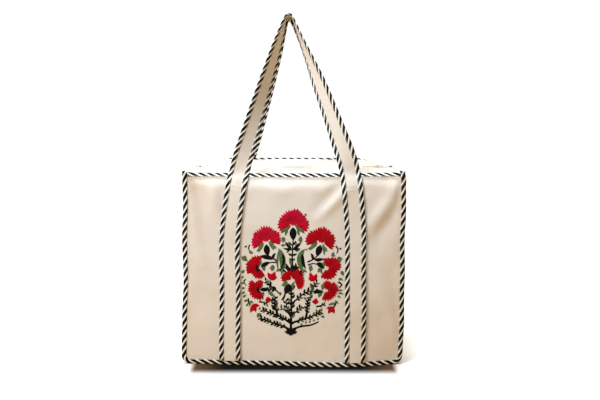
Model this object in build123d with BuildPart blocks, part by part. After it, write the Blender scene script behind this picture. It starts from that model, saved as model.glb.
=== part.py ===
from build123d import *
import math
import os

# A box-shaped tote bag in cream canvas. Striped bias tape binds the edges of both panels and of both
# straps, a zip closes the top, and a traditional carnation plant is embroidered on the front.
# Frame: X to the right, the front faces -Y, Z up, the floor at Z = 0, the origin midway between the panels.

# Body
bag_width = 406.0
bag_height = 356.0
bag_depth = 152.0
canvas = 1.6
bottom_corner_radius = 16.0
front_edge_sag = 5.0
rear_edge_rise = 14.0
rise_full = 128.0
seam_ease = 0.5

# Bias tape that binds every outer edge
tape = 0.5
binding_width = 8.5
stripe_pitch = 15.5
stripe_share = 0.6
stripe_angle = 30.0
stripe_relief = 0.4
strap_stripe_ease = 0.8
stripe_inset = 0.3
corner_tip = 1.5

# Straps
strap_width = 38.0
strap_core = 1.8
left_foot_x = -116.0
right_foot_x = 114.0
left_edge_x = -97.5
right_edge_x = 103.5
lean_start = 200.0
strap_drop = 306.0
apex_x = -8.0
apex_y = 10.0
rear_strap_inset = 3.0
front_loop_radius = 10.4
rear_loop_radius = 5.0
leg_steps = 7
loop_steps = 4
strap_ease = 0.15
strap_standoff = 0.5
strap_clearance = 7.5

# Zip in the top
zip_rise = 2.0
zip_end_gap = 20.9
zip_tape = 0.8
zip_tape_width = 11.6
zip_opening = 15.0
zip_lap = 8.5
coil_width = 2.6
coil_height = 2.4
coil_gap = 1.6
coil_bevel = 0.6
stop_length = 3.0
stop_cover = 0.4
stop_ease = 1.0

# Slider and pull
slider_length = 12.0
slider_wall = 1.0
slider_ease = 0.3
slider_corner = 1.8
divider = 1.0
divider_length = 5.0
bridge_length = 8.4
bridge_width = 2.4
bridge_height = 3.6
bridge_wall = 1.1
bridge_corner = 1.4
pull_length = 32.0
pull_width = 6.8
pull_thickness = 1.6
pull_hole = 1.6
pull_corner = 2.4

# Embroidery
thread = 0.3
motif_x = 0.0
root_z = 62.0

# Planes and edges that the pieces share
half_width = bag_width / 2
half_depth = bag_depth / 2
zip_height = bag_height + zip_rise
panel_face = half_depth - tape
panel_back = panel_face - canvas
allowance_back = panel_back - canvas
binding_back = allowance_back - tape
web_x = half_width - binding_width
web_inner_x = web_x - canvas
strap_thickness = strap_core + 2 * tape
strap_y = half_depth + strap_standoff + strap_thickness / 2
strap_end_z = binding_width + strap_ease
apex_z = bag_height + strap_drop
loop_z = apex_z - front_loop_radius - strap_thickness / 2
FRONT, REAR = -1, 1


sag_radius = (half_width**2 + front_edge_sag**2) / (2 * front_edge_sag)
rise_half = (web_x - rise_full) / 2
rise_radius = (rise_half**2 + (rear_edge_rise / 2) ** 2) / rear_edge_rise


def front_edge(x):
    """Height of the front panel's top edge, an arc that sags between its corners."""
    return bag_height - front_edge_sag + sag_radius - math.sqrt(sag_radius**2 - x**2)


def rear_edge(x):
    """Height of the rear panel's top edge, which stands up between the straps on two S bends."""
    out = abs(x)
    if out <= rise_full:
        return bag_height + rear_edge_rise
    if out <= rise_full + rise_half:
        drop = rise_radius - math.sqrt(rise_radius**2 - (out - rise_full) ** 2)
        return bag_height + rear_edge_rise - drop
    if out < web_x:
        return bag_height + rise_radius - math.sqrt(rise_radius**2 - (web_x - out) ** 2)
    return bag_height


def edge_line(edge, end_x, inset):
    """Draws a panel's top edge from left to right, lowered by the inset, and gives its lines."""
    bends = [rise_full, rise_full + rise_half, web_x] if edge is rear_edge else []
    knots = sorted({-end_x, end_x, *bends, *(-bend for bend in bends)})
    lines = []
    for low, high in zip(knots, knots[1:]):
        start, end = (low, edge(low) - inset), (high, edge(high) - inset)
        middle = ((low + high) / 2, edge((low + high) / 2) - inset)
        flat = abs(middle[1] - (start[1] + end[1]) / 2) < 1e-6
        lines.append(Line(start, end) if flat else ThreePointArc(start, middle, end))
    return lines


def face_plane(side, distance):
    """A plane on the front or rear of the bag, its normal pointing away from the bag."""
    return Plane(origin=(0, side * distance, 0), x_dir=(-side, 0, 0), z_dir=(0, side, 0))


def panel(side, edge):
    """A flat panel with two rounded lower corners, whose edge lies inside its binding."""
    x = half_width - tape
    radius = bottom_corner_radius - tape
    with BuildPart() as piece:
        with BuildSketch(face_plane(side, panel_back)):
            with BuildLine() as outline:
                top = edge_line(edge, x, tape)
                FilletPolyline(top[0] @ 0, (-x, tape), (x, tape), top[-1] @ 1, radius=radius)
            make_face(outline.edges())
        extrude(amount=canvas)
    return piece


with BuildPart() as front_panel:
    add(panel(FRONT, front_edge).part)

with BuildPart() as rear_panel:
    add(panel(REAR, rear_edge).part)


def strip_outline(inset, top):
    """Adds the U-shaped outline of the bag's sides and base, seen from the front, to the sketch."""
    x = half_width - inset
    with BuildLine() as outline:
        FilletPolyline((-x, top), (-x, inset), (x, inset), (x, top), radius=bottom_corner_radius - inset)
        Line((-x, top), (x, top))
    make_face(outline.edges())


def boxing_piece(low_x, high_x):
    """A canvas strip between the panels, with its seam allowances turned out against them."""
    crown = zip_height + zip_tape / 2 + canvas
    seam = front_edge(web_x) - binding_width - strap_ease
    with BuildPart() as piece:
        with BuildSketch(Plane.XZ.offset(-panel_back)):
            strip_outline(binding_width, crown)
            with BuildSketch(mode=Mode.PRIVATE) as inside:
                strip_outline(binding_width + canvas, crown)
            add(inside.sketch, mode=Mode.SUBTRACT)
        extrude(amount=2 * panel_back)
        with BuildSketch(Plane.YZ.offset(-half_width)):
            with BuildLine():
                Polyline(
                    (-half_depth, seam),
                    (-binding_back, seam),
                    (-zip_opening, crown),
                    (zip_opening, crown),
                    (binding_back, seam),
                    (half_depth, seam),
                    (half_depth, 2 * crown),
                    (-half_depth, 2 * crown),
                    close=True,
                )
            make_face()
        extrude(amount=bag_width, mode=Mode.SUBTRACT)
        for start in (-panel_back, allowance_back):
            with BuildSketch(Plane.XZ.offset(-start - canvas)):
                strip_outline(tape, bag_height - tape)
                with BuildSketch(mode=Mode.PRIVATE) as inside:
                    strip_outline(binding_width, bag_height - tape)
                add(inside.sketch, mode=Mode.SUBTRACT)
            extrude(amount=canvas)
        with BuildSketch(Plane.XZ.offset(-half_depth)):
            with Locations(((low_x + high_x) / 2, bag_height / 2)):
                Rectangle(high_x - low_x, 2 * bag_height)
        extrude(amount=bag_depth, mode=Mode.INTERSECT)
    return piece


base_half = half_width - bottom_corner_radius

with BuildPart() as left_gusset:
    add(boxing_piece(-half_width, -base_half).part)

with BuildPart() as right_gusset:
    add(boxing_piece(base_half, half_width).part)

with BuildPart() as base_panel:
    add(boxing_piece(-base_half, base_half).part)


def top_half(side, edge):
    """Half of the top: a seam allowance inside the binding, then canvas that slopes up to the zip."""
    lap = zip_height + zip_tape / 2
    knee = zip_opening + zip_lap
    if edge is rear_edge:
        right = [rise_full + rise_half * share for share in (0, 0.5, 1, 1.5)] + [web_inner_x]
    else:
        right = [rise_full / 3, rise_full, web_inner_x]
    stations = [-x for x in right[::-1]] + right
    with BuildPart() as piece:
        for x in stations:
            seam = edge(x) - binding_width - seam_ease
            with BuildSketch(Plane(origin=(x, 0, 0), x_dir=(0, side, 0), z_dir=(side, 0, 0))):
                Polygon(
                    (panel_back, edge(x) - 2 * tape),
                    (allowance_back, edge(x) - 2 * tape),
                    (allowance_back, seam),
                    (knee, lap + canvas),
                    (zip_opening / 2, lap + canvas),
                    (zip_opening / 2, lap),
                    (knee, lap),
                    (panel_back, seam - canvas),
                    align=None,
                )
        loft(ruled=True)
    return piece


with BuildPart() as top_panel_front:
    add(top_half(FRONT, front_edge).part)

with BuildPart() as top_panel_rear:
    add(top_half(REAR, rear_edge).part)


def edge_binding(side):
    """Tape folded over the sides and the bottom edge of a panel, as one length."""
    top = bag_height + corner_tip
    with BuildPart() as piece:
        for low, high, width in (
            (binding_back, allowance_back, binding_width),
            (allowance_back, panel_face, tape),
            (panel_face, half_depth, binding_width),
        ):
            with BuildSketch(Plane.XZ.offset(high if side == FRONT else -low)):
                strip_outline(0, top)
                with BuildSketch(mode=Mode.PRIVATE) as inside:
                    strip_outline(width, top)
                add(inside.sketch, mode=Mode.SUBTRACT)
            extrude(amount=low - high)
    return piece


with BuildPart() as front_edge_binding:
    add(edge_binding(FRONT).part)

with BuildPart() as rear_edge_binding:
    add(edge_binding(REAR).part)


def top_band(edge, width):
    """Adds a band below a panel's top edge to the sketch."""
    with BuildLine() as outline:
        upper = edge_line(edge, web_x, 0)
        lower = edge_line(edge, web_x, width)
        Line(upper[0] @ 0, lower[0] @ 0)
        Line(upper[-1] @ 1, lower[-1] @ 1)
    make_face(outline.edges())


def top_binding(side, edge):
    """Tape folded over the top edge of a panel, between its side bindings."""
    with BuildPart() as piece:
        for low, high, width in (
            (binding_back, allowance_back, binding_width),
            (allowance_back, panel_face, tape),
            (panel_face, half_depth, binding_width),
        ):
            with BuildSketch(face_plane(side, low)):
                top_band(edge, width)
            extrude(amount=high - low)
    return piece


with BuildPart() as front_top_binding:
    add(top_binding(FRONT, front_edge).part)

with BuildPart() as rear_top_binding:
    add(top_binding(REAR, rear_edge).part)

# A stripe is a low ridge that runs slanted across the tape, from one edge of it to the other
stripe_length = stripe_pitch * stripe_share
stripe_slant = binding_width / math.tan(math.radians(stripe_angle))


def stripe(start, end, along, out):
    """A dark stripe as a low ridge from one edge of the tape to the other."""
    half = along * (stripe_length / 2)
    section = Face(Wire.make_polygon([start - half, start + half, start + out * stripe_relief]))
    return Solid.extrude(section, end - start)


def turning_stripe(start, end):
    """A dark stripe on a rounded corner, where its two ends point different ways."""
    faces = [Face(Wire.make_polygon(ring)) for ring in (start, end)]
    for index in range(3):
        following = (index + 1) % 3
        faces.append(Face(Wire.make_polygon([start[index], start[following], end[following]])))
        faces.append(Face(Wire.make_polygon([start[index], end[following], end[index]])))
    return Solid(Shell(faces))


def side_path(along, across):
    """A point on a panel's side and bottom binding, from how far along and how far in it lies."""
    straight = bag_height - bottom_corner_radius
    middle = bottom_corner_radius - binding_width / 2
    turn = middle * math.pi / 2
    base = 2 * base_half
    radius = bottom_corner_radius - across
    if along < straight:
        return (-half_width + across, bag_height - along)
    if along < straight + turn:
        angle = (along - straight) / middle
        return (
            -base_half - radius * math.cos(angle),
            bottom_corner_radius - radius * math.sin(angle),
        )
    if along < straight + turn + base:
        return (-base_half + along - straight - turn, across)
    if along < straight + 2 * turn + base:
        angle = (along - straight - turn - base) / middle
        return (
            base_half + radius * math.sin(angle),
            bottom_corner_radius - radius * math.cos(angle),
        )
    return (half_width - across, bottom_corner_radius + along - straight - 2 * turn - base)


side_path_length = (
    2 * (bag_height - bottom_corner_radius)
    + (bottom_corner_radius - binding_width / 2) * math.pi
    + 2 * base_half
)


def edge_stripes(side):
    """Dark stripes of the tape on a panel's sides and bottom."""
    reach = (stripe_length + stripe_slant) / 2
    count = int((side_path_length - 2 * reach) / stripe_pitch)
    out = Vector(0, side, 0)
    stripes = []
    for index in range(count + 1):
        middle = reach + index * stripe_pitch
        ends = []
        for along, across in (
            (middle + stripe_slant / 2, stripe_inset),
            (middle - stripe_slant / 2, binding_width),
        ):
            before, tip, after = (
                Vector(-side * x, side * half_depth, z)
                for x, z in (
                    side_path(along + share * stripe_length / 2, across) for share in (-1, 0, 1)
                )
            )
            ends.append([before, after, tip + out * stripe_relief])
        if (ends[0][1] - ends[0][0]).cross(ends[1][1] - ends[1][0]).length < 1e-6:
            along = (ends[0][1] - ends[0][0]).normalized()
            start, end = ((ring[0] + ring[1]) / 2 for ring in ends)
            stripes.append(stripe(start, end, along, out))
        else:
            stripes.append(turning_stripe(*ends))
    with BuildPart() as piece:
        add(stripes)
    return piece


def top_stripes(side, edge):
    """Dark stripes of the tape on a panel's top edge."""
    reach = (stripe_length + stripe_slant) / 2
    count = int((2 * web_x - 2 * reach) / stripe_pitch)
    out = Vector(0, side, 0)
    stripes = []
    for index in range(count + 1):
        middle = -web_x + reach + index * stripe_pitch
        high, low = middle - stripe_slant / 2, middle + stripe_slant / 2
        start = Vector(-side * high, side * half_depth, edge(high) - stripe_inset)
        end = Vector(-side * low, side * half_depth, edge(low) - binding_width)
        stripes.append(stripe(start, end, Vector(1, 0, 0), out))
    with BuildPart() as piece:
        add(stripes)
    return piece


with BuildPart() as front_edge_stripes:
    add(edge_stripes(FRONT).part)

with BuildPart() as rear_edge_stripes:
    add(edge_stripes(REAR).part)

with BuildPart() as front_top_stripes:
    add(top_stripes(FRONT, front_edge).part)

with BuildPart() as rear_top_stripes:
    add(top_stripes(REAR, rear_edge).part)


def leg_centres(side, foot_x, edge_x, hand, loop_radius):
    """Centres of one strap leg, from its sewn end up to where it meets the loop."""
    edge = front_edge if side == FRONT else rear_edge
    strap_free_z = max(edge(edge_x), edge(edge_x + hand * strap_width / 2)) + strap_clearance
    centres = []
    for share in (0.0, 0.56, 0.72, 0.88):
        z = strap_end_z + share * (strap_free_z - strap_end_z)
        rise = max(0.0, (z - lean_start) / (strap_free_z - lean_start))
        centres.append(Vector(foot_x + (edge_x - foot_x) * rise**2, side * strap_y, z))
    start = Vector(edge_x, side * strap_y, strap_free_z)
    lean = math.atan2(abs(edge_x - apex_x) - loop_radius, loop_z - strap_free_z)
    end = Vector(
        apex_x + hand * loop_radius * math.cos(lean),
        side * apex_y,
        loop_z + loop_radius * math.sin(lean),
    )
    for step in range(leg_steps + 1):
        centres.append(start + (end - start) * (step / leg_steps))
    return centres, lean


def strap_stations(side, inset, loop_radius):
    """Planes across a strap, from one sewn end over the loop to the other.

    Each plane's X points at the strap's inner edge. It turns a quarter turn between the top of the
    bag and the loop, because the strap lies flat on the panel and flat over whatever holds it up.
    """
    left, left_lean = leg_centres(side, left_foot_x, left_edge_x + inset, -1, loop_radius)
    right, right_lean = leg_centres(side, right_foot_x, right_edge_x - inset, 1, loop_radius)
    start_angle = math.pi - left_lean
    sweep = math.pi - left_lean - right_lean
    loop = []
    for step in range(1, loop_steps):
        angle = start_angle - sweep * step / loop_steps
        centre = (
            apex_x + loop_radius * math.cos(angle),
            side * apex_y,
            loop_z + loop_radius * math.sin(angle),
        )
        loop.append(Vector(*centre))
    centres = left + loop + right[::-1]
    sewn = len(left) - leg_steps - 1
    planes = []
    for index, centre in enumerate(centres):
        before = centres[max(0, index - 1)]
        after = centres[min(len(centres) - 1, index + 1)]
        along = after - before
        from_end = min(index, len(centres) - 1 - index)
        if from_end <= sewn:
            along = Vector(along.X, 0, along.Z)
        along = along.normalized()
        share = min(1.0, max(0.0, (from_end - sewn) / leg_steps))
        turn = math.radians(90) * (1.25 * share - 0.9 * share**2 + 0.65 * share**3)
        hand = 1 if index < len(centres) / 2 else -1
        inner = Vector(hand * math.cos(turn), side * math.sin(turn), 0)
        inner = (inner - along * inner.dot(along)).normalized()
        planes.append(Plane(origin=centre, x_dir=inner, z_dir=along))
    return planes


front_stations = strap_stations(FRONT, 0.0, front_loop_radius)
rear_stations = strap_stations(REAR, rear_strap_inset, rear_loop_radius)


def ribbon(stations, profile):
    """A solid along a twisted strap, with flat faces between one station and the next.

    Each face is split from the lower corner of one station to the upper corner of the next, so that
    a tape and the canvas inside it have their creases in the same places.
    """
    rings = [[station.from_local_coords(Vector(u, v)) for u, v in profile] for station in stations]
    faces = [Face(Wire.make_polygon(ring)) for ring in (rings[0], rings[-1])]
    for near, far in zip(rings, rings[1:]):
        for index, point in enumerate(profile):
            following = (index + 1) % len(profile)
            low, high = (index, following) if point < profile[following] else (following, index)
            faces.append(Face(Wire.make_polygon([near[low], near[high], far[high]])))
            faces.append(Face(Wire.make_polygon([near[low], far[high], far[low]])))
    return Solid(Shell(faces))


def strap_canvas(stations):
    """The strap's folded canvas, up to the fold of its edge tapes."""
    fold = strap_width / 2 - tape - strap_ease
    reach = strap_width / 2 - binding_width
    face = strap_core / 2 - strap_ease
    across = [-fold, -reach, reach, fold]
    profile = [(u, -face) for u in across] + [(u, face) for u in across[::-1]]
    with BuildPart() as piece:
        add(ribbon(stations, profile))
    return piece


def strap_binding(stations, hand):
    """Tape folded over one long edge of a strap: the inner edge, or the outer one."""
    edge = strap_width / 2
    fold = edge - tape
    reach = edge - binding_width
    face = strap_thickness / 2
    leaf = face - tape
    profile = [
        (hand * reach, -face),
        (hand * edge, -face),
        (hand * edge, face),
        (hand * reach, face),
        (hand * reach, leaf),
        (hand * fold, leaf),
        (hand * fold, -leaf),
        (hand * reach, -leaf),
    ]
    with BuildPart() as piece:
        add(ribbon(stations, profile))
    return piece


def strap_stripes(stations, side, hand, bare):
    """Dark stripes on the outward face of one edge tape, bare for a stretch beside the loop."""
    lengths = [0.0]
    for near, far in zip(stations, stations[1:]):
        lengths.append(lengths[-1] + (far.origin - near.origin).length)
    half_steps = (len(stations) - 1 - loop_steps) // 2
    reach = (stripe_length + stripe_slant) / 2
    loop_start = lengths[half_steps] - bare - reach
    loop_end = lengths[half_steps + loop_steps] + bare + reach
    middle_across = hand * (strap_width - binding_width) / 2
    lift = strap_thickness / 2 + strap_stripe_ease
    stripes = []
    middle = reach
    while middle < lengths[-1] - reach:
        if not loop_start < middle < loop_end:
            index = max(i for i, reached in enumerate(lengths[:-1]) if reached <= middle)
            share = (middle - lengths[index]) / (lengths[index + 1] - lengths[index])
            near, far = stations[index], stations[index + 1]
            first = near.origin + near.x_dir * middle_across
            last = far.origin + far.x_dir * middle_across
            along = (last - first).normalized()
            inner = near.x_dir * (1 - share) + far.x_dir * share
            inner = (inner - along * inner.dot(along)).normalized()
            out = along.cross(inner) * side
            half = inner * (binding_width / 2) - along * (side * stripe_slant / 2)
            centre = first + (last - first) * share + out * lift
            stripes.append(stripe(centre - half, centre + half, along, out))
        middle += stripe_pitch
    with BuildPart() as piece:
        add(stripes)
    return piece


INNER, OUTER = 1, -1
rear_bare = 60.0

with BuildPart() as front_strap:
    add(strap_canvas(front_stations).part)

with BuildPart() as rear_strap:
    add(strap_canvas(rear_stations).part)

with BuildPart() as front_strap_inner_binding:
    add(strap_binding(front_stations, INNER).part)

with BuildPart() as front_strap_outer_binding:
    add(strap_binding(front_stations, OUTER).part)

with BuildPart() as rear_strap_inner_binding:
    add(strap_binding(rear_stations, INNER).part)

with BuildPart() as rear_strap_outer_binding:
    add(strap_binding(rear_stations, OUTER).part)

with BuildPart() as front_strap_inner_stripes:
    add(strap_stripes(front_stations, FRONT, INNER, 0.0).part)

with BuildPart() as front_strap_outer_stripes:
    add(strap_stripes(front_stations, FRONT, OUTER, 0.0).part)

with BuildPart() as rear_strap_inner_stripes:
    add(strap_stripes(rear_stations, REAR, INNER, rear_bare).part)

with BuildPart() as rear_strap_outer_stripes:
    add(strap_stripes(rear_stations, REAR, OUTER, rear_bare).part)


# Zip: two tapes with a coil half each, stops at both ends, a slider and its pull
zip_half = web_inner_x - zip_end_gap
zip_chain = 2 * zip_half
coil_edge = coil_gap / 2 + coil_width
slider_x = zip_half - slider_length / 2 - stop_ease


def zip_tape_half(side):
    """One woven tape, from the coil to under the canvas."""
    with BuildPart() as piece:
        with BuildSketch(Plane.XY.offset(zip_height - zip_tape / 2)):
            with Locations((0, side * (coil_edge + zip_tape_width / 2))):
                Rectangle(2 * web_inner_x, zip_tape_width)
        extrude(amount=zip_tape)
    return piece


def zip_coil_half(side):
    """One half of the coil, a bevelled bar along its tape."""
    with BuildPart() as piece:
        with BuildSketch(Plane.YZ.offset(-zip_half)) as section:
            with Locations((side * (coil_edge - coil_width / 2), zip_height)):
                Rectangle(coil_width, coil_height)
            chamfer(section.vertices(), coil_bevel)
        extrude(amount=zip_chain)
    return piece


with BuildPart() as zip_tape_front:
    add(zip_tape_half(FRONT).part)

with BuildPart() as zip_tape_rear:
    add(zip_tape_half(REAR).part)

with BuildPart() as zip_coil_front:
    add(zip_coil_half(FRONT).part)

with BuildPart() as zip_coil_rear:
    add(zip_coil_half(REAR).part)

stop_height = coil_height + 2 * stop_cover

with BuildPart() as zip_closed_stops:
    for stop_side in (FRONT, REAR):
        with BuildSketch(Plane.YZ.offset(zip_half)):
            with Locations((stop_side * (coil_edge - coil_width / 2), zip_height)):
                Rectangle(coil_width, stop_height)
        extrude(amount=stop_length)

with BuildPart() as zip_open_stop:
    with BuildSketch(Plane.YZ.offset(-zip_half)):
        with Locations((0, zip_height)):
            Rectangle(2 * coil_edge, stop_height)
    extrude(amount=-stop_length)

# Slider: two plates, flanges that turn in towards the tapes, a divider between the coil halves,
# and a bridge that holds the pull
plate_gap = coil_height / 2 + slider_ease
plate_top = plate_gap + slider_wall
flange_inner = coil_edge + slider_ease
slider_width = 2 * (flange_inner + slider_wall)
tape_slot = zip_tape / 2 + slider_ease

with BuildPart() as zip_slider:
    for face in (1, -1):
        with BuildSketch(Plane.XY.offset(zip_height + face * tape_slot)) as outline:
            with Locations((slider_x, 0)):
                Rectangle(slider_length, slider_width)
            chamfer(outline.vertices(), slider_corner)
        extrude(amount=face * (plate_top - tape_slot))
        with BuildSketch(Plane.XY.offset(zip_height + face * tape_slot)):
            with Locations((slider_x, 0)):
                Rectangle(slider_length, 2 * flange_inner)
        extrude(amount=face * (plate_gap - tape_slot), mode=Mode.SUBTRACT)
    with BuildSketch(Plane.XY.offset(zip_height - plate_gap)):
        with Locations((slider_x + slider_length / 2 - divider_length / 2, 0)):
            Rectangle(divider_length, divider)
    extrude(amount=2 * plate_gap)
    with BuildSketch(Plane.XZ.offset(-bridge_width / 2)):
        with Locations((slider_x, zip_height + plate_top)):
            RectangleRounded(bridge_length, 2 * bridge_height, bridge_corner)
            Rectangle(bridge_length - 2 * bridge_wall, 2 * (bridge_height - bridge_wall), mode=Mode.SUBTRACT)
        with Locations((slider_x, zip_height + plate_top - bridge_height)):
            Rectangle(2 * bridge_length, 2 * bridge_height, mode=Mode.SUBTRACT)
    extrude(amount=bridge_width)

# Pull: a plate with two arms and a cross bar that turns under the bridge
pin_z = zip_height + plate_top + (bridge_height - bridge_wall) / 2
arm_y = bridge_width / 2 + slider_ease
arm_reach = math.hypot(bridge_length / 2, bridge_height) + slider_ease

with BuildPart() as zip_pull:
    with BuildSketch(Plane.XY.offset(pin_z - pull_thickness / 2)):
        with Locations((slider_x - pull_length / 2, 0)):
            Rectangle(pull_length, pull_width)
        with Locations((slider_x - arm_reach / 2, 0)):
            Rectangle(arm_reach, 2 * arm_y, mode=Mode.SUBTRACT)
        with Locations((slider_x - pull_length + 2 * pull_corner, 0)):
            Circle(pull_hole, mode=Mode.SUBTRACT)
    extrude(amount=pull_thickness)
    fillet(zip_pull.edges().filter_by(Axis.Z).group_by(Axis.X)[0], pull_corner)
    with BuildSketch(Plane.XZ.offset(-pull_width / 2)):
        with Locations((slider_x, pin_z)):
            Circle(pull_thickness / 2)
    extrude(amount=pull_width)


# Embroidery: stems lie on the panel, leaves on the stems and petals on the leaves
def carnation(x, z, facing, radius, spread):
    """Adds a carnation seen from the side: a fan with a toothed rim above a narrow base."""
    teeth = 6
    points = [(0.0, -0.55 * radius)]
    for step in range(2 * teeth + 1):
        angle = math.radians(90 - spread + spread * step / teeth)
        reach = radius if step % 2 else 0.82 * radius
        points.append((reach * math.cos(angle), reach * math.sin(angle)))
    with Locations(Location((x, z, 0), (0, 0, facing))):
        Polygon(*points, align=None)


def bud(x, z, facing, length):
    """Adds a three-pointed bud."""
    width = 0.42 * length
    points = [
        (0, -0.5 * length),
        (width, 0),
        (0.8 * width, 0.5 * length),
        (0.3 * width, 0.15 * length),
        (0, 0.55 * length),
        (-0.3 * width, 0.15 * length),
        (-0.8 * width, 0.5 * length),
        (-width, 0),
    ]
    with Locations(Location((x, z, 0), (0, 0, facing))):
        Polygon(*points, align=None)


def leaf(x, z, facing, length, width):
    """Adds a pointed leaf that grows from the point given."""
    points = [(0, 0), (width / 2, 0.4 * length), (0, length), (-width / 2, 0.4 * length)]
    with Locations(Location((x, z, 0), (0, 0, facing))):
        Polygon(*points, align=None)


def stem(points, width):
    """Adds a stem as a band that tapers towards its tip along the points given."""
    left, right = [], []
    last = len(points) - 1
    for index, (x, z) in enumerate(points):
        near, far = points[max(0, index - 1)], points[min(last, index + 1)]
        length = math.hypot(far[0] - near[0], far[1] - near[1])
        half = width * (1 - 0.6 * index / last) / 2
        out = ((far[1] - near[1]) / length * half, -(far[0] - near[0]) / length * half)
        left.append((x - out[0], z - out[1]))
        right.append((x + out[0], z + out[1]))
    Polygon(*left, *right[::-1], align=None)


# Each flower: how far to the side, height above the root, the way it faces, radius, spread of its fan
main_flowers = [
    (1.0, 205.0, 0.0, 27.0, 100.0),
    (-50.0, 176.0, 8.0, 26.0, 100.0),
    (51.0, 175.0, -8.0, 26.0, 100.0),
    (-68.0, 118.0, 62.0, 21.0, 95.0),
    (69.0, 117.0, -62.0, 21.0, 95.0),
    (-68.0, 76.0, 100.0, 21.0, 95.0),
    (66.0, 74.0, -100.0, 21.0, 95.0),
    (2.0, 99.0, 160.0, 21.0, 90.0),
]
buds = [
    (-38.0, 103.0, 20.0, 19.0),
    (36.0, 102.0, -20.0, 19.0),
    (-46.0, 60.0, 40.0, 15.0),
    (40.0, 59.0, -40.0, 15.0),
    (-74.0, 46.0, 60.0, 18.0),
    (69.0, 43.0, -60.0, 18.0),
]
# Stems fan out from the root: tip to the side, tip height, how far the stem bows out on its way
stem_tips = [
    (1.0, 184.0, 0.0),
    (-44.0, 155.0, -20.0),
    (45.0, 154.0, 20.0),
    (-52.0, 108.0, -14.0),
    (53.0, 107.0, 14.0),
    (-50.0, 70.0, -6.0),
    (48.0, 68.0, 6.0),
    (-66.0, 40.0, -4.0),
    (62.0, 37.0, 4.0),
]


def stem_point(tip, share):
    """A point on a stem, at a share of the way from the root to its tip."""
    x, z, bow = tip
    out = share + math.sin(math.pi * share) * bow / max(abs(x), 20.0) * (1 if x >= 0 else -1)
    return (motif_x + x * out, root_z + z * share)


motif_plane = Plane(origin=(0, -panel_face, 0), x_dir=(1, 0, 0), z_dir=(0, -1, 0))

with BuildPart() as embroidered_stems:
    with BuildSketch(motif_plane):
        for tip in stem_tips:
            stem([stem_point(tip, step / 3) for step in range(4)], 3.0)
        with Locations((motif_x, root_z)):
            RegularPolygon(8.0, 6)
    extrude(amount=thread)

with BuildPart() as embroidered_leaves:
    with BuildSketch(motif_plane.offset(thread)):
        for tip in stem_tips:
            for step in (4, 7):
                near, far = stem_point(tip, step / 10), stem_point(tip, step / 10 + 0.05)
                heading = math.degrees(math.atan2(far[1] - near[1], far[0] - near[0])) - 90
                for turn in (-48, 48):
                    leaf(near[0], near[1], heading + turn, 11.0, 4.6)
    extrude(amount=thread)

with BuildPart() as embroidered_flowers:
    with BuildSketch(motif_plane.offset(2 * thread)):
        for x, z, facing, radius, spread in main_flowers:
            carnation(motif_x + x, root_z + z, facing, radius, spread)
        for x, z, facing, length in buds:
            bud(motif_x + x, root_z + z, facing, length)
    extrude(amount=thread)

pieces = {
    "front_panel": front_panel,
    "rear_panel": rear_panel,
    "left_gusset": left_gusset,
    "right_gusset": right_gusset,
    "base_panel": base_panel,
    "top_panel_front": top_panel_front,
    "top_panel_rear": top_panel_rear,
    "front_edge_binding": front_edge_binding,
    "rear_edge_binding": rear_edge_binding,
    "front_top_binding": front_top_binding,
    "rear_top_binding": rear_top_binding,
    "front_edge_stripes": front_edge_stripes,
    "rear_edge_stripes": rear_edge_stripes,
    "front_top_stripes": front_top_stripes,
    "rear_top_stripes": rear_top_stripes,
    "front_strap": front_strap,
    "rear_strap": rear_strap,
    "front_strap_inner_binding": front_strap_inner_binding,
    "front_strap_outer_binding": front_strap_outer_binding,
    "rear_strap_inner_binding": rear_strap_inner_binding,
    "rear_strap_outer_binding": rear_strap_outer_binding,
    "front_strap_inner_stripes": front_strap_inner_stripes,
    "front_strap_outer_stripes": front_strap_outer_stripes,
    "rear_strap_inner_stripes": rear_strap_inner_stripes,
    "rear_strap_outer_stripes": rear_strap_outer_stripes,
    "zip_tape_front": zip_tape_front,
    "zip_tape_rear": zip_tape_rear,
    "zip_coil_front": zip_coil_front,
    "zip_coil_rear": zip_coil_rear,
    "zip_closed_stops": zip_closed_stops,
    "zip_open_stop": zip_open_stop,
    "zip_slider": zip_slider,
    "zip_pull": zip_pull,
    "embroidered_stems": embroidered_stems,
    "embroidered_leaves": embroidered_leaves,
    "embroidered_flowers": embroidered_flowers,
}

os.makedirs("parts", exist_ok=True)
for name, piece in pieces.items():
    piece.part.label = name
    export_step(piece.part, f"parts/{name}.step")
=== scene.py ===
"""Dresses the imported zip-top tote bag: soft canvas, striped tape, straps, zip and embroidery."""

import logging
import math
from dataclasses import dataclass, field
from enum import Enum
from typing import Callable, Iterable, Sequence

import bpy
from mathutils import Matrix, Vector, noise

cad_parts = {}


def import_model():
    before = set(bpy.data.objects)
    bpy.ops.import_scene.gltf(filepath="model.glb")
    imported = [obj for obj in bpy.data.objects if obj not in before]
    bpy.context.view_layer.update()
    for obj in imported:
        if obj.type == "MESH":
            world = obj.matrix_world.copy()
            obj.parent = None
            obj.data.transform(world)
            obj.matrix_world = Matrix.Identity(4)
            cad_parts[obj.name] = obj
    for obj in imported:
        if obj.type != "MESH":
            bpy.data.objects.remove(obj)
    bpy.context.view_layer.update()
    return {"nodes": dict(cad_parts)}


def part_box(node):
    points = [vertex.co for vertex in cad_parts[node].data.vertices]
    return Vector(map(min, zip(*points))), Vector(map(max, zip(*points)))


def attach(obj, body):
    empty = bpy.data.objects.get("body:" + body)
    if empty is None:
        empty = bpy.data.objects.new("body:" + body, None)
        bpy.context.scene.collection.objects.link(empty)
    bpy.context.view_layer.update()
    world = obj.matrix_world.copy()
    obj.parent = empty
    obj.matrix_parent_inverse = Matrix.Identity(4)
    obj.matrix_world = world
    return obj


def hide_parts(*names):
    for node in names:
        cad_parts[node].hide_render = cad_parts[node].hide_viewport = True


MM = 0.001
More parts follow.
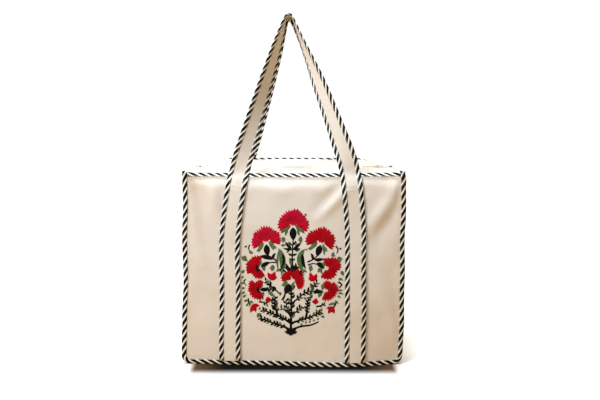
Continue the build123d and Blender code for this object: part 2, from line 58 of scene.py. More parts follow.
log = logging.getLogger("tote")


class Side(Enum):
    """The front or the rear of the bag, by the sign of its Y."""

    FRONT = -1
    REAR = 1


class Hand(Enum):
    """The edge of a strap that a tape folds over."""

    INNER = 1
    OUTER = -1


def smooth(low: float, high: float, value: float) -> float:
    """Eases from 0 at low to 1 at high.

    Args:
        low: The value where the result is 0.
        high: The value where the result is 1.
        value: The value to ease.

    Returns:
        A number from 0 to 1.
    """
    share = min(1.0, max(0.0, (value - low) / (high - low)))
    return share * share * (3.0 - 2.0 * share)


def along_knots(knots: Sequence[tuple[float, float]], value: float) -> float:
    """Reads a smooth curve through pairs of place and height.

    Args:
        knots: Pairs in rising order of place.
        value: The place to read.

    Returns:
        The height there.
    """
    if value <= knots[0][0]:
        return knots[0][1]
    for (low, start), (high, end) in zip(knots, knots[1:]):
        if value <= high:
            return start + (end - start) * smooth(low, high, value)
    return knots[-1][1]


def straight_knots(knots: Sequence[tuple[float, float]], value: float) -> float:
    """Reads a line drawn straight from knot to knot.

    Args:
        knots: Pairs in rising order of place.
        value: The place to read.

    Returns:
        The height there.
    """
    for (low, start), (high, end) in zip(knots, knots[1:]):
        if value <= high:
            return start + (end - start) * (value - low) / (high - low)
    return knots[-1][1]


def ripple(seed: float, x: float, y: float, size: float) -> float:
    """Smooth unevenness of cloth, the same on every run.

    Args:
        seed: Picks one pattern among many.
        x: First place on the cloth, in millimetres.
        y: Second place on the cloth, in millimetres.
        size: Width of one ripple, in millimetres.

    Returns:
        A height from about -1 to 1.
    """
    return 2.0 * noise.noise(Vector((x / size, y / size, seed)))


class Draft:
    """Collects points and faces in millimetres, and makes one object of them in metres."""

    def __init__(self) -> None:
        """Starts with no points."""
        self.points: list[Vector] = []
        self.faces: list[tuple[int, ...]] = []
        self.coords: list[tuple[float, float]] = []

    def grid(
        self,
        rows: Sequence[Sequence[Vector]],
        coords: Sequence[Sequence[tuple[float, float]]],
        flip: bool = False,
    ) -> None:
        """Adds a sheet of four-sided faces.

        Args:
            rows: The sheet's points, row by row, each row as long as the first.
            coords: For each point, its place on the cloth in millimetres.
            flip: Turns the faces over.
        """
        start = len(self.points)
        width = len(rows[0])
        for row, marks in zip(rows, coords):
            self.points.extend(row)
            self.coords.extend(marks)
        for r in range(len(rows) - 1):
            for c in range(width - 1):
                a = start + r * width + c
                ring = (a, a + 1, a + width + 1, a + width)
                self.faces.append(ring[::-1] if flip else ring)

    def tube(self, path: Sequence[Vector], radius: float, sides: int, closed_ends: bool = True) -> None:
        """Adds a round thread along a path.

        Args:
            path: The thread's centre line.
            radius: The thread's radius.
            sides: How many faces go round it.
            closed_ends: Closes both ends.
        """
        start = len(self.points)
        last = len(path) - 1
        normal = Vector((0.0, 0.0, 1.0))
        length = 0.0
        for index, point in enumerate(path):
            ahead = (path[min(last, index + 1)] - path[max(0, index - 1)]).normalized()
            side = ahead.cross(normal)
            if side.length < 1e-4:
                side = ahead.cross(Vector((1.0, 0.0, 0.0)))
            side.normalize()
            normal = side.cross(ahead).normalized()
            if index:
                length += (point - path[index - 1]).length
            for step in range(sides):
                angle = 2.0 * math.pi * step / sides
                self.points.append(point + (side * math.cos(angle) + normal * math.sin(angle)) * radius)
                self.coords.append((length, radius * angle))
        for index in range(last):
            for step in range(sides):
                a = start + index * sides + step
                b = start + index * sides + (step + 1) % sides
                self.faces.append((a, b, b + sides, a + sides))
        if closed_ends:
            self.faces.append(tuple(range(start, start + sides))[::-1])
            self.faces.append(tuple(range(start + last * sides, start + (last + 1) * sides)))

    def stitch(self, start: Vector, end: Vector, radius: float) -> None:
        """Adds one machine stitch: a short thread that dips at both ends.

        Args:
            start: Where the thread comes up.
            end: Where it goes down.
            radius: The thread's radius.
        """
        ahead = (end - start).normalized()
        side = ahead.cross(Vector((0.31, 0.87, 0.38))).normalized()
        up = side.cross(ahead)
        first = len(self.points)
        for share, size in ((0.0, 0.35), (0.22, 1.0), (0.78, 1.0), (1.0, 0.35)):
            centre = start.lerp(end, share)
            for turn in range(4):
                angle = 0.5 * math.pi * (turn + 0.5)
                self.points.append(centre + (side * math.cos(angle) + up * math.sin(angle)) * radius * size)
                self.coords.append((share * 3.0, turn * radius))
        for ring in range(3):
            for turn in range(4):
                a = first + ring * 4 + turn
                b = first + ring * 4 + (turn + 1) % 4
                self.faces.append((a, b, b + 4, a + 4))
        self.faces.append((first + 3, first + 2, first + 1, first))
        self.faces.append((first + 12, first + 13, first + 14, first + 15))

    def seam(self, line: Sequence[Vector], pitch: float = 3.2, share: float = 0.74, radius: float = 0.3) -> None:
        """Adds a row of machine stitches along a line.

        Args:
            line: Points along the seam, closely spaced.
            pitch: Distance from one stitch to the next.
            share: How much of that the thread covers.
            radius: The thread's radius.
        """
        reach = 0.0
        lengths = [0.0]
        for before, after in zip(line, line[1:]):
            reach += (after - before).length
            lengths.append(reach)
        index = 0

        def at(place: float) -> Vector:
            """Gives the point at a distance along the line."""
            nonlocal index
            while index < len(line) - 2 and lengths[index + 1] < place:
                index += 1
            step = max(1e-6, lengths[index + 1] - lengths[index])
            return line[index].lerp(line[index + 1], min(1.0, (place - lengths[index]) / step))

        for number in range(int(reach / pitch)):
            start = at((number + 0.1) * pitch)
            self.stitch(start, at((number + 0.1 + share) * pitch), radius)

    def build(self, name: str, finish: bpy.types.Material, smooth_faces: bool = True) -> bpy.types.Object:
        """Makes the object.

        Args:
            name: The piece's name.
            finish: Its material.
            smooth_faces: Shades it smoothly.

        Returns:
            The new object, linked to the scene.
        """
        mesh = bpy.data.meshes.new(name)
        mesh.from_pydata([point * MM for point in self.points], [], self.faces)
        layer = mesh.uv_layers.new(name="Cloth")
        for loop in mesh.loops:
            u, v = self.coords[loop.vertex_index]
            layer.data[loop.index].uv = (u * MM, v * MM)
        mesh.polygons.foreach_set("use_smooth", [smooth_faces] * len(mesh.polygons))
        mesh.materials.append(finish)
        mesh.validate()
        piece = bpy.data.objects.new(name, mesh)
        bpy.context.scene.collection.objects.link(piece)
        return piece


def thicken(piece: bpy.types.Object, thickness: float, offset: float = -1.0) -> None:
    """Gives a sheet its thickness.

    Args:
        piece: The sheet.
        thickness: In millimetres.
        offset: -1 keeps the outer face, 0 keeps the middle.
    """
    shell = piece.modifiers.new("thickness", "SOLIDIFY")
    shell.thickness = thickness * MM
    shell.offset = offset
    shell.use_even_offset = False


def seat(
    piece: bpy.types.Object,
    stands_for: Iterable[str] = (),
    body: str = "bag",
) -> bpy.types.Object:
    """Ties a piece to its body and hides the solids that it stands for.

    Args:
        piece: The finished piece.
        stands_for: CAD nodes that it replaces.
        body: The body it moves with.

    Returns:
        The same piece.
    """
    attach(piece, body)
    names = list(stands_for)
    if names:
        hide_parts(*names)
    log.info("%s: %d faces, stands for %s", piece.name, len(piece.data.polygons), names or "nothing")
    return piece


@dataclass(frozen=True)
class BagSizes:
    """The sizes that the pieces share, in millimetres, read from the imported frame."""

    half_width: float
    half_depth: float
    height: float
    corner_tip: float = 1.5
    canvas: float = 1.6
    tape: float = 0.5
    tape_width: float = 8.5
    corner_radius: float = 16.0
    front_sag: float = 5.0
    rear_rise: float = 14.0
    rise_full: float = 128.0
    zip_height: float = 358.0
    zip_opening: float = 15.0

    @classmethod
    def from_frame(cls) -> "BagSizes":
        """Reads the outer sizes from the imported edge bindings."""
        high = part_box("rear_edge_binding")[1] / MM
        return cls(half_width=high.x, half_depth=high.y, height=high.z - cls.corner_tip)

    @property
    def panel_face(self) -> float:
        """How far out a panel's own face lies, under its binding."""
        return self.half_depth - self.tape

    @property
    def binding_back(self) -> float:
        """How far out the inward leaf of a binding lies."""
        return self.half_depth - 2.0 * self.tape - 2.0 * self.canvas

    @property
    def web(self) -> float:
        """How far out the cloth between the bindings lies, to the side."""
        return self.half_width - self.tape_width

    def front_edge(self, x: float) -> float:
        """Height of the front panel's top edge at a place across."""
        return self.height - self.front_sag * (1.0 - (x / self.half_width) ** 2)

    def rear_edge(self, x: float) -> float:
        """Height of the rear panel's top edge at a place across."""
        return self.height + self.rear_rise * (1.0 - smooth(self.rise_full, self.web, abs(x)))

    def edge(self, side: Side, x: float) -> float:
        """Height of a panel's top edge at a place across."""
        return self.front_edge(x) if side is Side.FRONT else self.rear_edge(x)


@dataclass(frozen=True)
class Fold:
    """A soft fold in a panel: a ridge, or a valley where its height is below zero."""

    start: tuple[float, float]
    end: tuple[float, float]
    height: float
    width: float

    def lift(self, x: float, z: float) -> float:
        """Height of the fold at a place on the panel."""
        ax, az = self.start
        dx, dz = self.end[0] - ax, self.end[1] - az
        span = dx * dx + dz * dz
        share = ((x - ax) * dx + (z - az) * dz) / span
        near = min(1.0, max(0.0, share))
        gap = math.hypot(x - ax - dx * near, z - az - dz * near)
        along = math.sin(math.pi * (0.12 + 0.76 * near))
        return self.height * along * math.exp(-((gap / self.width) ** 2))


@dataclass(frozen=True)
class SoftForm:
    """How the standing cloth bag departs from its flat pattern, the same for every piece of it."""

    sizes: BagSizes
    bow_places: tuple[tuple[float, float, float], ...] = ((95.0, 80.0, 12.5), (-25.0, 110.0, 7.0))
    bow_height: float = 105.0
    belly: float = 5.0
    rear_belly: float = 4.0
    gusset_fold: float = 6.0
    rear_corner_pull: float = -3.0
    front_lift: float = 6.0
    rear_lift: float = 5.0
    roll: float = math.radians(44.0)
    dent: float = 4.2
    right_edge: tuple[tuple[float, float], ...] = (
        (0.0, -1.8), (28.0, 0.0), (83.0, 2.4), (156.0, 1.6), (230.0, 1.2), (303.0, 3.2), (340.0, 2.8), (357.0, 0.4),
    )
    left_edge: tuple[tuple[float, float], ...] = (
        (0.0, 5.0), (28.0, 4.5), (83.0, 2.6), (156.0, -1.4), (230.0, 0.2), (303.0, -2.6), (340.0, -2.4), (357.0, -2.0),
    )
    folds: tuple[Fold, ...] = (
        Fold((112.0, 336.0), (46.0, 272.0), 3.4, 9.0),
        Fold((92.0, 334.0), (38.0, 288.0), -2.2, 9.0),
        Fold((188.0, 326.0), (138.0, 252.0), 4.6, 13.0),
        Fold((184.0, 288.0), (150.0, 226.0), -2.6, 14.0),
        Fold((-152.0, 330.0), (-136.0, 284.0), 3.6, 11.0),
        Fold((-186.0, 336.0), (-162.0, 290.0), -2.6, 9.0),
        Fold((-190.0, 300.0), (-166.0, 190.0), 1.8, 12.0),
        Fold((-60.0, 336.0), (-10.0, 300.0), 1.8, 16.0),
        Fold((-176.0, 120.0), (-140.0, 40.0), 1.6, 16.0),
        Fold((150.0, 170.0), (190.0, 60.0), 1.8, 14.0),
    )

    def moved(self, point: Vector) -> Vector:
        """Gives where a point of the flat pattern stands on the real bag.

        Args:
            point: A point in millimetres.

        Returns:
            The moved point.
        """
        x, y, z = point
        s = self.sizes
        front = smooth(20.0, 70.0, -y)
        rear = smooth(20.0, 70.0, y)
        fade = 1.0 - smooth(s.height, s.height + 80.0, z)
        across = min(1.0, abs(x) / s.half_width)
        up = min(1.0, max(0.0, z / s.height))
        shift = Vector((0.0, 0.0, 0.0))
        bow = sum(
            amount * math.exp(-(((x - place) / width) ** 2)) for place, width, amount in self.bow_places
        )
        dome = math.cos(0.5 * math.pi * across) * math.sin(math.pi * up)
        shift.y -= front * (bow * math.exp(-max(0.0, z) / self.bow_height) + self.belly * dome)
        shift.y += rear * self.rear_belly * dome
        edge = self.right_edge if x > 0 else self.left_edge
        outward = across**3 * along_knots(edge, z)
        outward -= rear * across**2 * self.rear_corner_pull * smooth(240.0, s.height, z)
        inside = smooth(150.0, s.web, abs(x)) * math.exp(-((y / 26.0) ** 2))
        outward -= self.gusset_fold * inside * math.sin(math.pi * min(1.0, max(0.0, (z - 12.0) / 322.0)))
        shift.x += outward if x > 0 else -outward
        corner = 1.0 - smooth(176.0, 198.0, abs(x))
        shift.z += front * self.front_lift * (1.0 - 0.65 * across**4) * smooth(280.0, 350.0, z)
        shift.z += rear * self.rear_lift * (1.0 - smooth(120.0, 194.0, abs(x))) * smooth(280.0, 350.0, z)
        low = s.front_edge(x) - s.tape_width
        turned = min(s.tape_width, max(0.0, z - low)) * front * corner
        shift.y += turned * math.sin(self.roll)
        shift.z -= turned * (1.0 - math.cos(self.roll))
        below = math.exp(-(((z - low + 2.0) / (9.0 if z < low else 30.0)) ** 2))
        shift.y += front * corner * self.dent * below * (1.0 + 0.35 * ripple(4.9, x, 0.0, 60.0))
        steady = max(smooth(22.0, 50.0, abs(y)), 1.0 - smooth(290.0, 330.0, z))
        shift.x += 0.6 * steady * ripple(3.1, y + z, x, 70.0)
        shift.y += 0.6 * steady * ripple(7.7, x, z, 75.0)
        return point + shift * fade

    def relief(self, x: float, z: float) -> float:
        """Height of the front panel's own folds and puckers over its smooth form.

        Args:
            x: Place across the panel.
            z: Height on the panel.

        Returns:
            Height towards the front, in millimetres.
        """
        s = self.sizes
        inner = s.tape_width + 1.0
        to_side = s.half_width - inner - abs(x)
        to_base = z - inner
        to_top = s.front_edge(x) - inner - z
        nearest = min(to_side, to_base, to_top)
        clear = smooth(-2.0, 14.0, nearest)
        height = clear * sum(fold.lift(x, z) for fold in self.folds)
        swell = 0.5 + 1.1 * ripple(1.3, x, 0.0, 52.0)
        height += swell * math.exp(-(((to_top - 22.0) / 10.0) ** 2)) * clear
        along = x if to_top < to_side or to_base < to_side else z
        height += 0.32 * ripple(5.2, along, nearest * 0.4, 11.0) * math.exp(-max(0.0, nearest) / 13.0) * clear
        height += clear * (0.45 * ripple(9.4, x, z, 52.0) + 0.12 * ripple(2.6, x, z, 17.0))
        return height

    def on_front(self, x: float, z: float, lift: float = 0.0) -> Vector:
        """Gives a point on the front panel's face, or a little in front of it.

        Args:
            x: Place across the panel.
            z: Height on the panel.
            lift: How far in front of the canvas.

        Returns:
            The point.
        """
        out = self.sizes.panel_face + self.relief(x, z) + lift
        return self.moved(Vector((x, -out, z)))


def shader(name: str) -> tuple[bpy.types.Material, bpy.types.Node]:
    """Makes an empty material with one Principled shader.

    Args:
        name: The material's name.

    Returns:
        The material and its shader.
    """
    material = bpy.data.materials.new(name)
    material.use_nodes = True
    tree = material.node_tree
    tree.nodes.clear()
    surface = tree.nodes.new("ShaderNodeBsdfPrincipled")
    output = tree.nodes.new("ShaderNodeOutputMaterial")
    tree.links.new(surface.outputs["BSDF"], output.inputs["Surface"])
    return material, surface


class Wiring:
    """Adds and joins the nodes of one tree, so that a finish reads as a list of steps."""

    def __init__(self, tree: bpy.types.NodeTree) -> None:
        """Keeps the tree.

        Args:
            tree: The tree to add to.
        """
        self.tree = tree

    def plug(self, socket: bpy.types.NodeSocket, value: object) -> None:
        """Joins a socket to another one, or sets its value."""
        if isinstance(value, bpy.types.NodeSocket):
            self.tree.links.new(value, socket)
        else:
            socket.default_value = value

    def math(self, operation: str, *values: object) -> bpy.types.NodeSocket:
        """Adds a Math node and gives its result."""
        node = self.tree.nodes.new("ShaderNodeMath")
        node.operation = operation
        for socket, value in zip(node.inputs, values):
            self.plug(socket, value)
        return node.outputs[0]

    def fade(self, value: object, low: float, high: float, start: float, end: float) -> bpy.types.NodeSocket:
        """Eases a value from one range to another."""
        node = self.tree.nodes.new("ShaderNodeMapRange")
        node.interpolation_type = "SMOOTHSTEP"
        for socket, given in zip(node.inputs, (value, low, high, start, end)):
            self.plug(socket, given)
        return node.outputs[0]

    def mix(self, share: object, first: object, second: object) -> bpy.types.NodeSocket:
        """Mixes two colours."""
        node = self.tree.nodes.new("ShaderNodeMix")
        node.data_type = "RGBA"
        self.plug(node.inputs["Factor"], share)
        self.plug(node.inputs["A"], first)
        self.plug(node.inputs["B"], second)
        return node.outputs["Result"]

    def stretch(self, vector: object, scale: tuple[float, float, float]) -> bpy.types.NodeSocket:
        """Scales a place along its three axes."""
        node = self.tree.nodes.new("ShaderNodeVectorMath")
        node.operation = "MULTIPLY"
        self.plug(node.inputs[0], vector)
        node.inputs[1].default_value = scale
        return node.outputs[0]

    def split(self, vector: object) -> tuple[bpy.types.NodeSocket, ...]:
        """Splits a place into its three numbers."""
        node = self.tree.nodes.new("ShaderNodeSeparateXYZ")
        self.plug(node.inputs[0], vector)
        return tuple(node.outputs)

    def noise(self, vector: object, scale: float, detail: float = 2.0) -> bpy.types.NodeSocket:
        """Adds a Noise Texture and gives its strength."""
        node = self.tree.nodes.new("ShaderNodeTexNoise")
        self.plug(node.inputs["Vector"], vector)
        node.inputs["Scale"].default_value = scale
        node.inputs["Detail"].default_value = detail
        return node.outputs["Fac"]

    def cloth(self) -> bpy.types.NodeSocket:
        """Gives the place on the cloth, in metres."""
        node = self.tree.nodes.new("ShaderNodeUVMap")
        node.uv_map = "Cloth"
        return node.outputs["UV"]

    def place(self) -> bpy.types.NodeSocket:
        """Gives the place on the object, in metres."""
        return self.tree.nodes.new("ShaderNodeTexCoord").outputs["Object"]

    def bump(self, height: object, strength: float, distance: float) -> bpy.types.NodeSocket:
        """Adds a Bump node and gives its normal."""
        node = self.tree.nodes.new("ShaderNodeBump")
        node.inputs["Strength"].default_value = strength
        node.inputs["Distance"].default_value = distance
        self.plug(node.inputs["Height"], height)
        return node.outputs["Normal"]

    def group(self, tree: bpy.types.NodeTree, **values: object) -> bpy.types.Node:
        """Places a shared node group with its own values."""
        node = self.tree.nodes.new("ShaderNodeGroup")
        node.node_tree = tree
        for name, value in values.items():
            self.plug(node.inputs[name.replace("_", " ")], value)
        return node


def new_group(
    name: str,
    inputs: Sequence[tuple[str, str, float | None]],
    outputs: Sequence[tuple[str, str]],
) -> tuple[Wiring, bpy.types.Node, bpy.types.Node]:
    """Starts a shared node group.

    Args:
        name: The group's name.
        inputs: Name, socket type and starting value of each input.
        outputs: Name and socket type of each output.

    Returns:
        The group's wiring, its input node and its output node.
    """
    tree = bpy.data.node_groups.new(name, "ShaderNodeTree")
    for label, kind, value in inputs:
        socket = tree.interface.new_socket(label, in_out="INPUT", socket_type=kind)
        if value is not None:
            socket.default_value = value
    for label, kind in outputs:
        tree.interface.new_socket(label, in_out="OUTPUT", socket_type=kind)
    return Wiring(tree), tree.nodes.new("NodeGroupInput"), tree.nodes.new("NodeGroupOutput")


FLOAT = "NodeSocketFloat"
VECTOR = "NodeSocketVector"


@dataclass
class ClothGroups:
    """The node groups that several finishes share."""

    weave: bpy.types.NodeTree = field(init=False)
    stripes: bpy.types.NodeTree = field(init=False)
    wear: bpy.types.NodeTree = field(init=False)
    stitches: bpy.types.NodeTree = field(init=False)

    def __post_init__(self) -> None:
        """Builds every group once."""
        self.weave = self.build_weave()
        self.stripes = self.build_stripes()
        self.wear = self.build_wear()
        self.stitches = self.build_satin()

    def build_weave(self) -> bpy.types.NodeTree:
        """Builds a plain weave: threads over and under each other, with thick and thin ones."""
        w, given, out = new_group(
            "Plain weave",
            [("Place", VECTOR, None), ("Threads per metre", FLOAT, 1400.0), ("Slub", FLOAT, 0.4)],
            [("Height", FLOAT), ("Thread", FLOAT)],
        )
        u, v, _ = w.split(given.outputs["Place"])
        turn = w.math("MULTIPLY", given.outputs["Threads per metre"], math.pi)
        warp = w.math("SINE", w.math("MULTIPLY", u, turn))
        weft = w.math("SINE", w.math("MULTIPLY", v, turn))
        over = w.math("MULTIPLY", warp, weft)
        long_slub = w.noise(w.stretch(given.outputs["Place"], (900.0, 60.0, 1.0)), 1.0)
        cross_slub = w.noise(w.stretch(given.outputs["Place"], (60.0, 900.0, 1.0)), 1.0)
        thread = w.math("ADD", long_slub, cross_slub)
        height = w.math("MULTIPLY_ADD", thread, given.outputs["Slub"], w.math("MULTIPLY", over, 0.25))
        w.plug(out.inputs["Height"], height)
        w.plug(out.inputs["Thread"], w.math("MULTIPLY", thread, 0.5))
        return w.tree

    def build_stripes(self) -> bpy.types.NodeTree:
        """Builds the slanted stripes of the bias tape, from the place along and across it."""
        w, given, out = new_group(
            "Bias stripes",
            [("Place", VECTOR, None), ("Pitch", FLOAT, 0.0155), ("Share", FLOAT, 0.6), ("Slant", FLOAT, 1.73)],
            [("Dark", FLOAT)],
        )
        u, v, _ = w.split(given.outputs["Place"])
        phase = w.math("SUBTRACT", u, w.math("MULTIPLY", v, given.outputs["Slant"]))
        uneven = w.math("SUBTRACT", w.noise(w.stretch(given.outputs["Place"], (1.0, 1.0, 1.0)), 420.0), 0.5)
        phase = w.math("MULTIPLY_ADD", uneven, 0.0018, phase)
        turn = w.math("ADD", w.math("DIVIDE", phase, given.outputs["Pitch"]), 0.5)
        gap = w.math("ABSOLUTE", w.math("SUBTRACT", w.math("FRACT", turn), 0.5))
        edge = w.math("MULTIPLY", given.outputs["Share"], 0.5)
        dark = w.fade(w.math("SUBTRACT", edge, gap), -0.02, 0.02, 0.0, 1.0)
        w.plug(out.inputs["Dark"], dark)
        return w.tree

    def build_wear(self) -> bpy.types.NodeTree:
        """Builds soft stains and handling marks."""
        w, given, out = new_group(
            "Handling marks",
            [("Place", VECTOR, None), ("Scale", FLOAT, 9.0)],
            [("Stain", FLOAT), ("Blotch", FLOAT)],
        )
        scaled = w.tree.nodes.new("ShaderNodeVectorMath")
        scaled.operation = "SCALE"
        w.plug(scaled.inputs[0], given.outputs["Place"])
        w.plug(scaled.inputs["Scale"], given.outputs["Scale"])
        broad = w.noise(scaled.outputs[0], 1.0, 3.0)
        spots = w.noise(scaled.outputs[0], 4.3, 4.0)
        w.plug(out.inputs["Stain"], w.fade(broad, 0.42, 0.72, 0.0, 1.0))
        w.plug(out.inputs["Blotch"], w.fade(spots, 0.55, 0.8, 0.0, 1.0))
        return w.tree

    def build_satin(self) -> bpy.types.NodeTree:
        """Builds lines of embroidery thread that run along the place's first number."""
        w, given, out = new_group(
            "Satin threads",
            [("Place", VECTOR, None), ("Threads per metre", FLOAT, 1700.0)],
            [("Height", FLOAT), ("Tone", FLOAT)],
        )
        u, v, _ = w.split(given.outputs["Place"])
        turn = w.math("MULTIPLY", given.outputs["Threads per metre"], 2.0 * math.pi)
        wander = w.noise(w.stretch(given.outputs["Place"], (120.0, 400.0, 1.0)), 1.0)
        line = w.math("SINE", w.math("MULTIPLY_ADD", v, turn, w.math("MULTIPLY", wander, 5.0)))
        tone = w.noise(w.stretch(given.outputs["Place"], (90.0, 1500.0, 1.0)), 1.0, 1.0)
        w.plug(out.inputs["Height"], w.math("MULTIPLY_ADD", line, 0.5, tone))
        w.plug(out.inputs["Tone"], tone)
        return w.tree


Colour = tuple[float, float, float, float]


@dataclass(frozen=True)
class CanvasFinish:
    """Unbleached cotton canvas with a visible weave, soft stains and a few specks."""

    groups: ClothGroups
    name: str = "canvas"
    pale: Colour = (0.81, 0.765, 0.70, 1.0)
    warm: Colour = (0.74, 0.655, 0.545, 1.0)
    grime: Colour = (0.48, 0.36, 0.24, 1.0)
    specks: tuple[tuple[float, float, float], ...] = (
        (49.6, 304.0, 0.9), (59.7, 360.0, 0.7), (160.8, 99.2, 0.8), (188.3, 62.5, 0.7), (59.7, 46.0, 0.8),
    )

    def build(self) -> bpy.types.Material:
        """Makes the material."""
        material, surface = shader(self.name)
        w = Wiring(material.node_tree)
        cloth, place = w.cloth(), w.place()
        weave = w.group(self.groups.weave, Place=cloth, Threads_per_metre=1250.0)
        wear = w.group(self.groups.wear, Place=place, Scale=8.0)
        colour = w.mix(w.math("MULTIPLY", wear.outputs["Stain"], 0.55), self.pale, self.warm)
        colour = w.mix(w.math("MULTIPLY", wear.outputs["Blotch"], 0.10), colour, self.grime)
        tint = w.fade(weave.outputs["Thread"], 0.35, 0.65, 0.0, 0.10)
        colour = w.mix(tint, colour, self.warm)
        x, _, z = w.split(place)
        for centre_x, centre_z, size in self.specks:
            far_x = w.math("SUBTRACT", x, centre_x * MM)
            far_z = w.math("SUBTRACT", z, centre_z * MM)
            gap = w.math("SQRT", w.math("ADD", w.math("POWER", far_x, 2.0), w.math("POWER", far_z, 2.0)))
            spot = w.fade(gap, 0.4 * size * MM, size * MM, 0.8, 0.0)
            colour = w.mix(spot, colour, self.grime)
        w.plug(surface.inputs["Base Color"], colour)
        rough = w.fade(weave.outputs["Thread"], 0.3, 0.7, 0.82, 0.92)
        w.plug(surface.inputs["Roughness"], rough)
        surface.inputs["Sheen Weight"].default_value = 0.15
        surface.inputs["Specular IOR Level"].default_value = 0.25
        w.plug(surface.inputs["Normal"], w.bump(weave.outputs["Height"], 0.35, 0.0003))
        return material


@dataclass(frozen=True)
class TapeFinish:
    """Bias tape printed with slanted dark stripes."""

    groups: ClothGroups
    name: str = "striped_tape"
    cream: Colour = (0.95, 0.95, 0.93, 1.0)
    dark: Colour = (0.0035, 0.0045, 0.0035, 1.0)
    green: Colour = (0.014, 0.024, 0.010, 1.0)
    pitch: float = 15.5
    share: float = 0.64
    slant: float = 1.732

    def build(self) -> bpy.types.Material:
        """Makes the material."""
        material, surface = shader(self.name)
        w = Wiring(material.node_tree)
        cloth = w.cloth()
        stripes = w.group(
            self.groups.stripes, Place=cloth, Pitch=self.pitch * MM, Share=self.share, Slant=self.slant
        )
        weave = w.group(self.groups.weave, Place=cloth, Threads_per_metre=1900.0, Slub=0.3)
        hue = w.fade(w.noise(w.place(), 26.0), 0.4, 0.65, 0.0, 0.8)
        dark = w.mix(hue, self.dark, self.green)
        cream = w.mix(w.fade(weave.outputs["Thread"], 0.35, 0.65, 0.0, 0.2), self.cream, (0.7, 0.64, 0.52, 1.0))
        w.plug(surface.inputs["Base Color"], w.mix(stripes.outputs["Dark"], cream, dark))
        w.plug(surface.inputs["Roughness"], w.fade(weave.outputs["Thread"], 0.3, 0.7, 0.72, 0.86))
        surface.inputs["Specular IOR Level"].default_value = 0.07
        w.plug(surface.inputs["Normal"], w.bump(weave.outputs["Height"], 0.3, 0.0002))
        return material


@dataclass(frozen=True)
class ThreadFinish:
    """Shiny embroidery thread laid side by side."""

    groups: ClothGroups
    name: str
    colour: Colour
    shade: Colour
    roughness: float = 0.5

    def build(self) -> bpy.types.Material:
        """Makes the material."""
        material, surface = shader(self.name)
        w = Wiring(material.node_tree)
        satin = w.group(self.groups.stitches, Place=w.cloth())
        tone = w.fade(satin.outputs["Tone"], 0.35, 0.65, 0.0, 1.0)
        w.plug(surface.inputs["Base Color"], w.mix(tone, self.shade, self.colour))
        rough = w.fade(satin.outputs["Tone"], 0.3, 0.7, self.roughness + 0.1, self.roughness)
        w.plug(surface.inputs["Roughness"], rough)
        surface.inputs["Specular IOR Level"].default_value = 0.06
        w.plug(surface.inputs["Normal"], w.bump(satin.outputs["Height"], 0.5, 0.0003))
        return material


@dataclass(frozen=True)
class MouldedFinish:
    """Moulded nylon or enamelled metal of the zip."""

    name: str
    colour: Colour
    worn: Colour
    roughness: float
    metallic: float = 0.0

    def build(self) -> bpy.types.Material:
        """Makes the material."""
        material, surface = shader(self.name)
        w = Wiring(material.node_tree)
        place = w.place()
        marks = w.noise(place, 900.0, 3.0)
        w.plug(surface.inputs["Base Color"], w.mix(w.fade(marks, 0.5, 0.75, 0.0, 0.5), self.colour, self.worn))
        w.plug(surface.inputs["Roughness"], w.fade(marks, 0.3, 0.7, self.roughness, self.roughness + 0.15))
        surface.inputs["Metallic"].default_value = self.metallic
        w.plug(surface.inputs["Normal"], w.bump(marks, 0.15, 0.0001))
        return material


@dataclass
class Finishes:
    """Every material of the bag, made once."""

    groups: ClothGroups = field(default_factory=ClothGroups)
    canvas: bpy.types.Material = field(init=False)
    tape: bpy.types.Material = field(init=False)
    crimson: bpy.types.Material = field(init=False)
    scarlet: bpy.types.Material = field(init=False)
    painted_groove_shade: bpy.types.Material = field(init=False)
    green: bpy.types.Material = field(init=False)
    black: bpy.types.Material = field(init=False)
    cream_thread: bpy.types.Material = field(init=False)
    coil: bpy.types.Material = field(init=False)
    enamel: bpy.types.Material = field(init=False)

    def __post_init__(self) -> None:
        """Builds the materials."""
        g = self.groups
        self.canvas = CanvasFinish(g).build()
        self.tape = TapeFinish(g).build()
        self.crimson = ThreadFinish(g, "crimson_thread", (0.70, 0.008, 0.042, 1.0), (0.40, 0.002, 0.016, 1.0)).build()
        self.scarlet = ThreadFinish(g, "scarlet_thread", (0.58, 0.003, 0.012, 1.0), (0.33, 0.001, 0.005, 1.0)).build()
        # Dark red thread for the painted shade in the grooves between petals.
        self.painted_groove_shade = ThreadFinish(g, "garnet_thread", (0.22, 0.002, 0.010, 1.0), (0.10, 0.001, 0.005, 1.0)).build()
        self.green = ThreadFinish(g, "leaf_thread", (0.15, 0.24, 0.10, 1.0), (0.035, 0.075, 0.026, 1.0)).build()
        # Black thread for the stems and for the painted shade in the flowers' hollows.
        self.black = ThreadFinish(g, "stem_and_painted_shade_thread", (0.006, 0.008, 0.005, 1.0), (0.002, 0.003, 0.002, 1.0)).build()
        self.cream_thread = ThreadFinish(g, "seam_thread", (0.78, 0.70, 0.58, 1.0), (0.6, 0.5, 0.38, 1.0), 0.6).build()
        self.coil = MouldedFinish("zip_nylon", (0.74, 0.67, 0.54, 1.0), (0.6, 0.52, 0.4, 1.0), 0.4).build()
        self.enamel = MouldedFinish("zip_enamel", (0.82, 0.77, 0.68, 1.0), (0.68, 0.62, 0.52, 1.0), 0.3, 0.1).build()


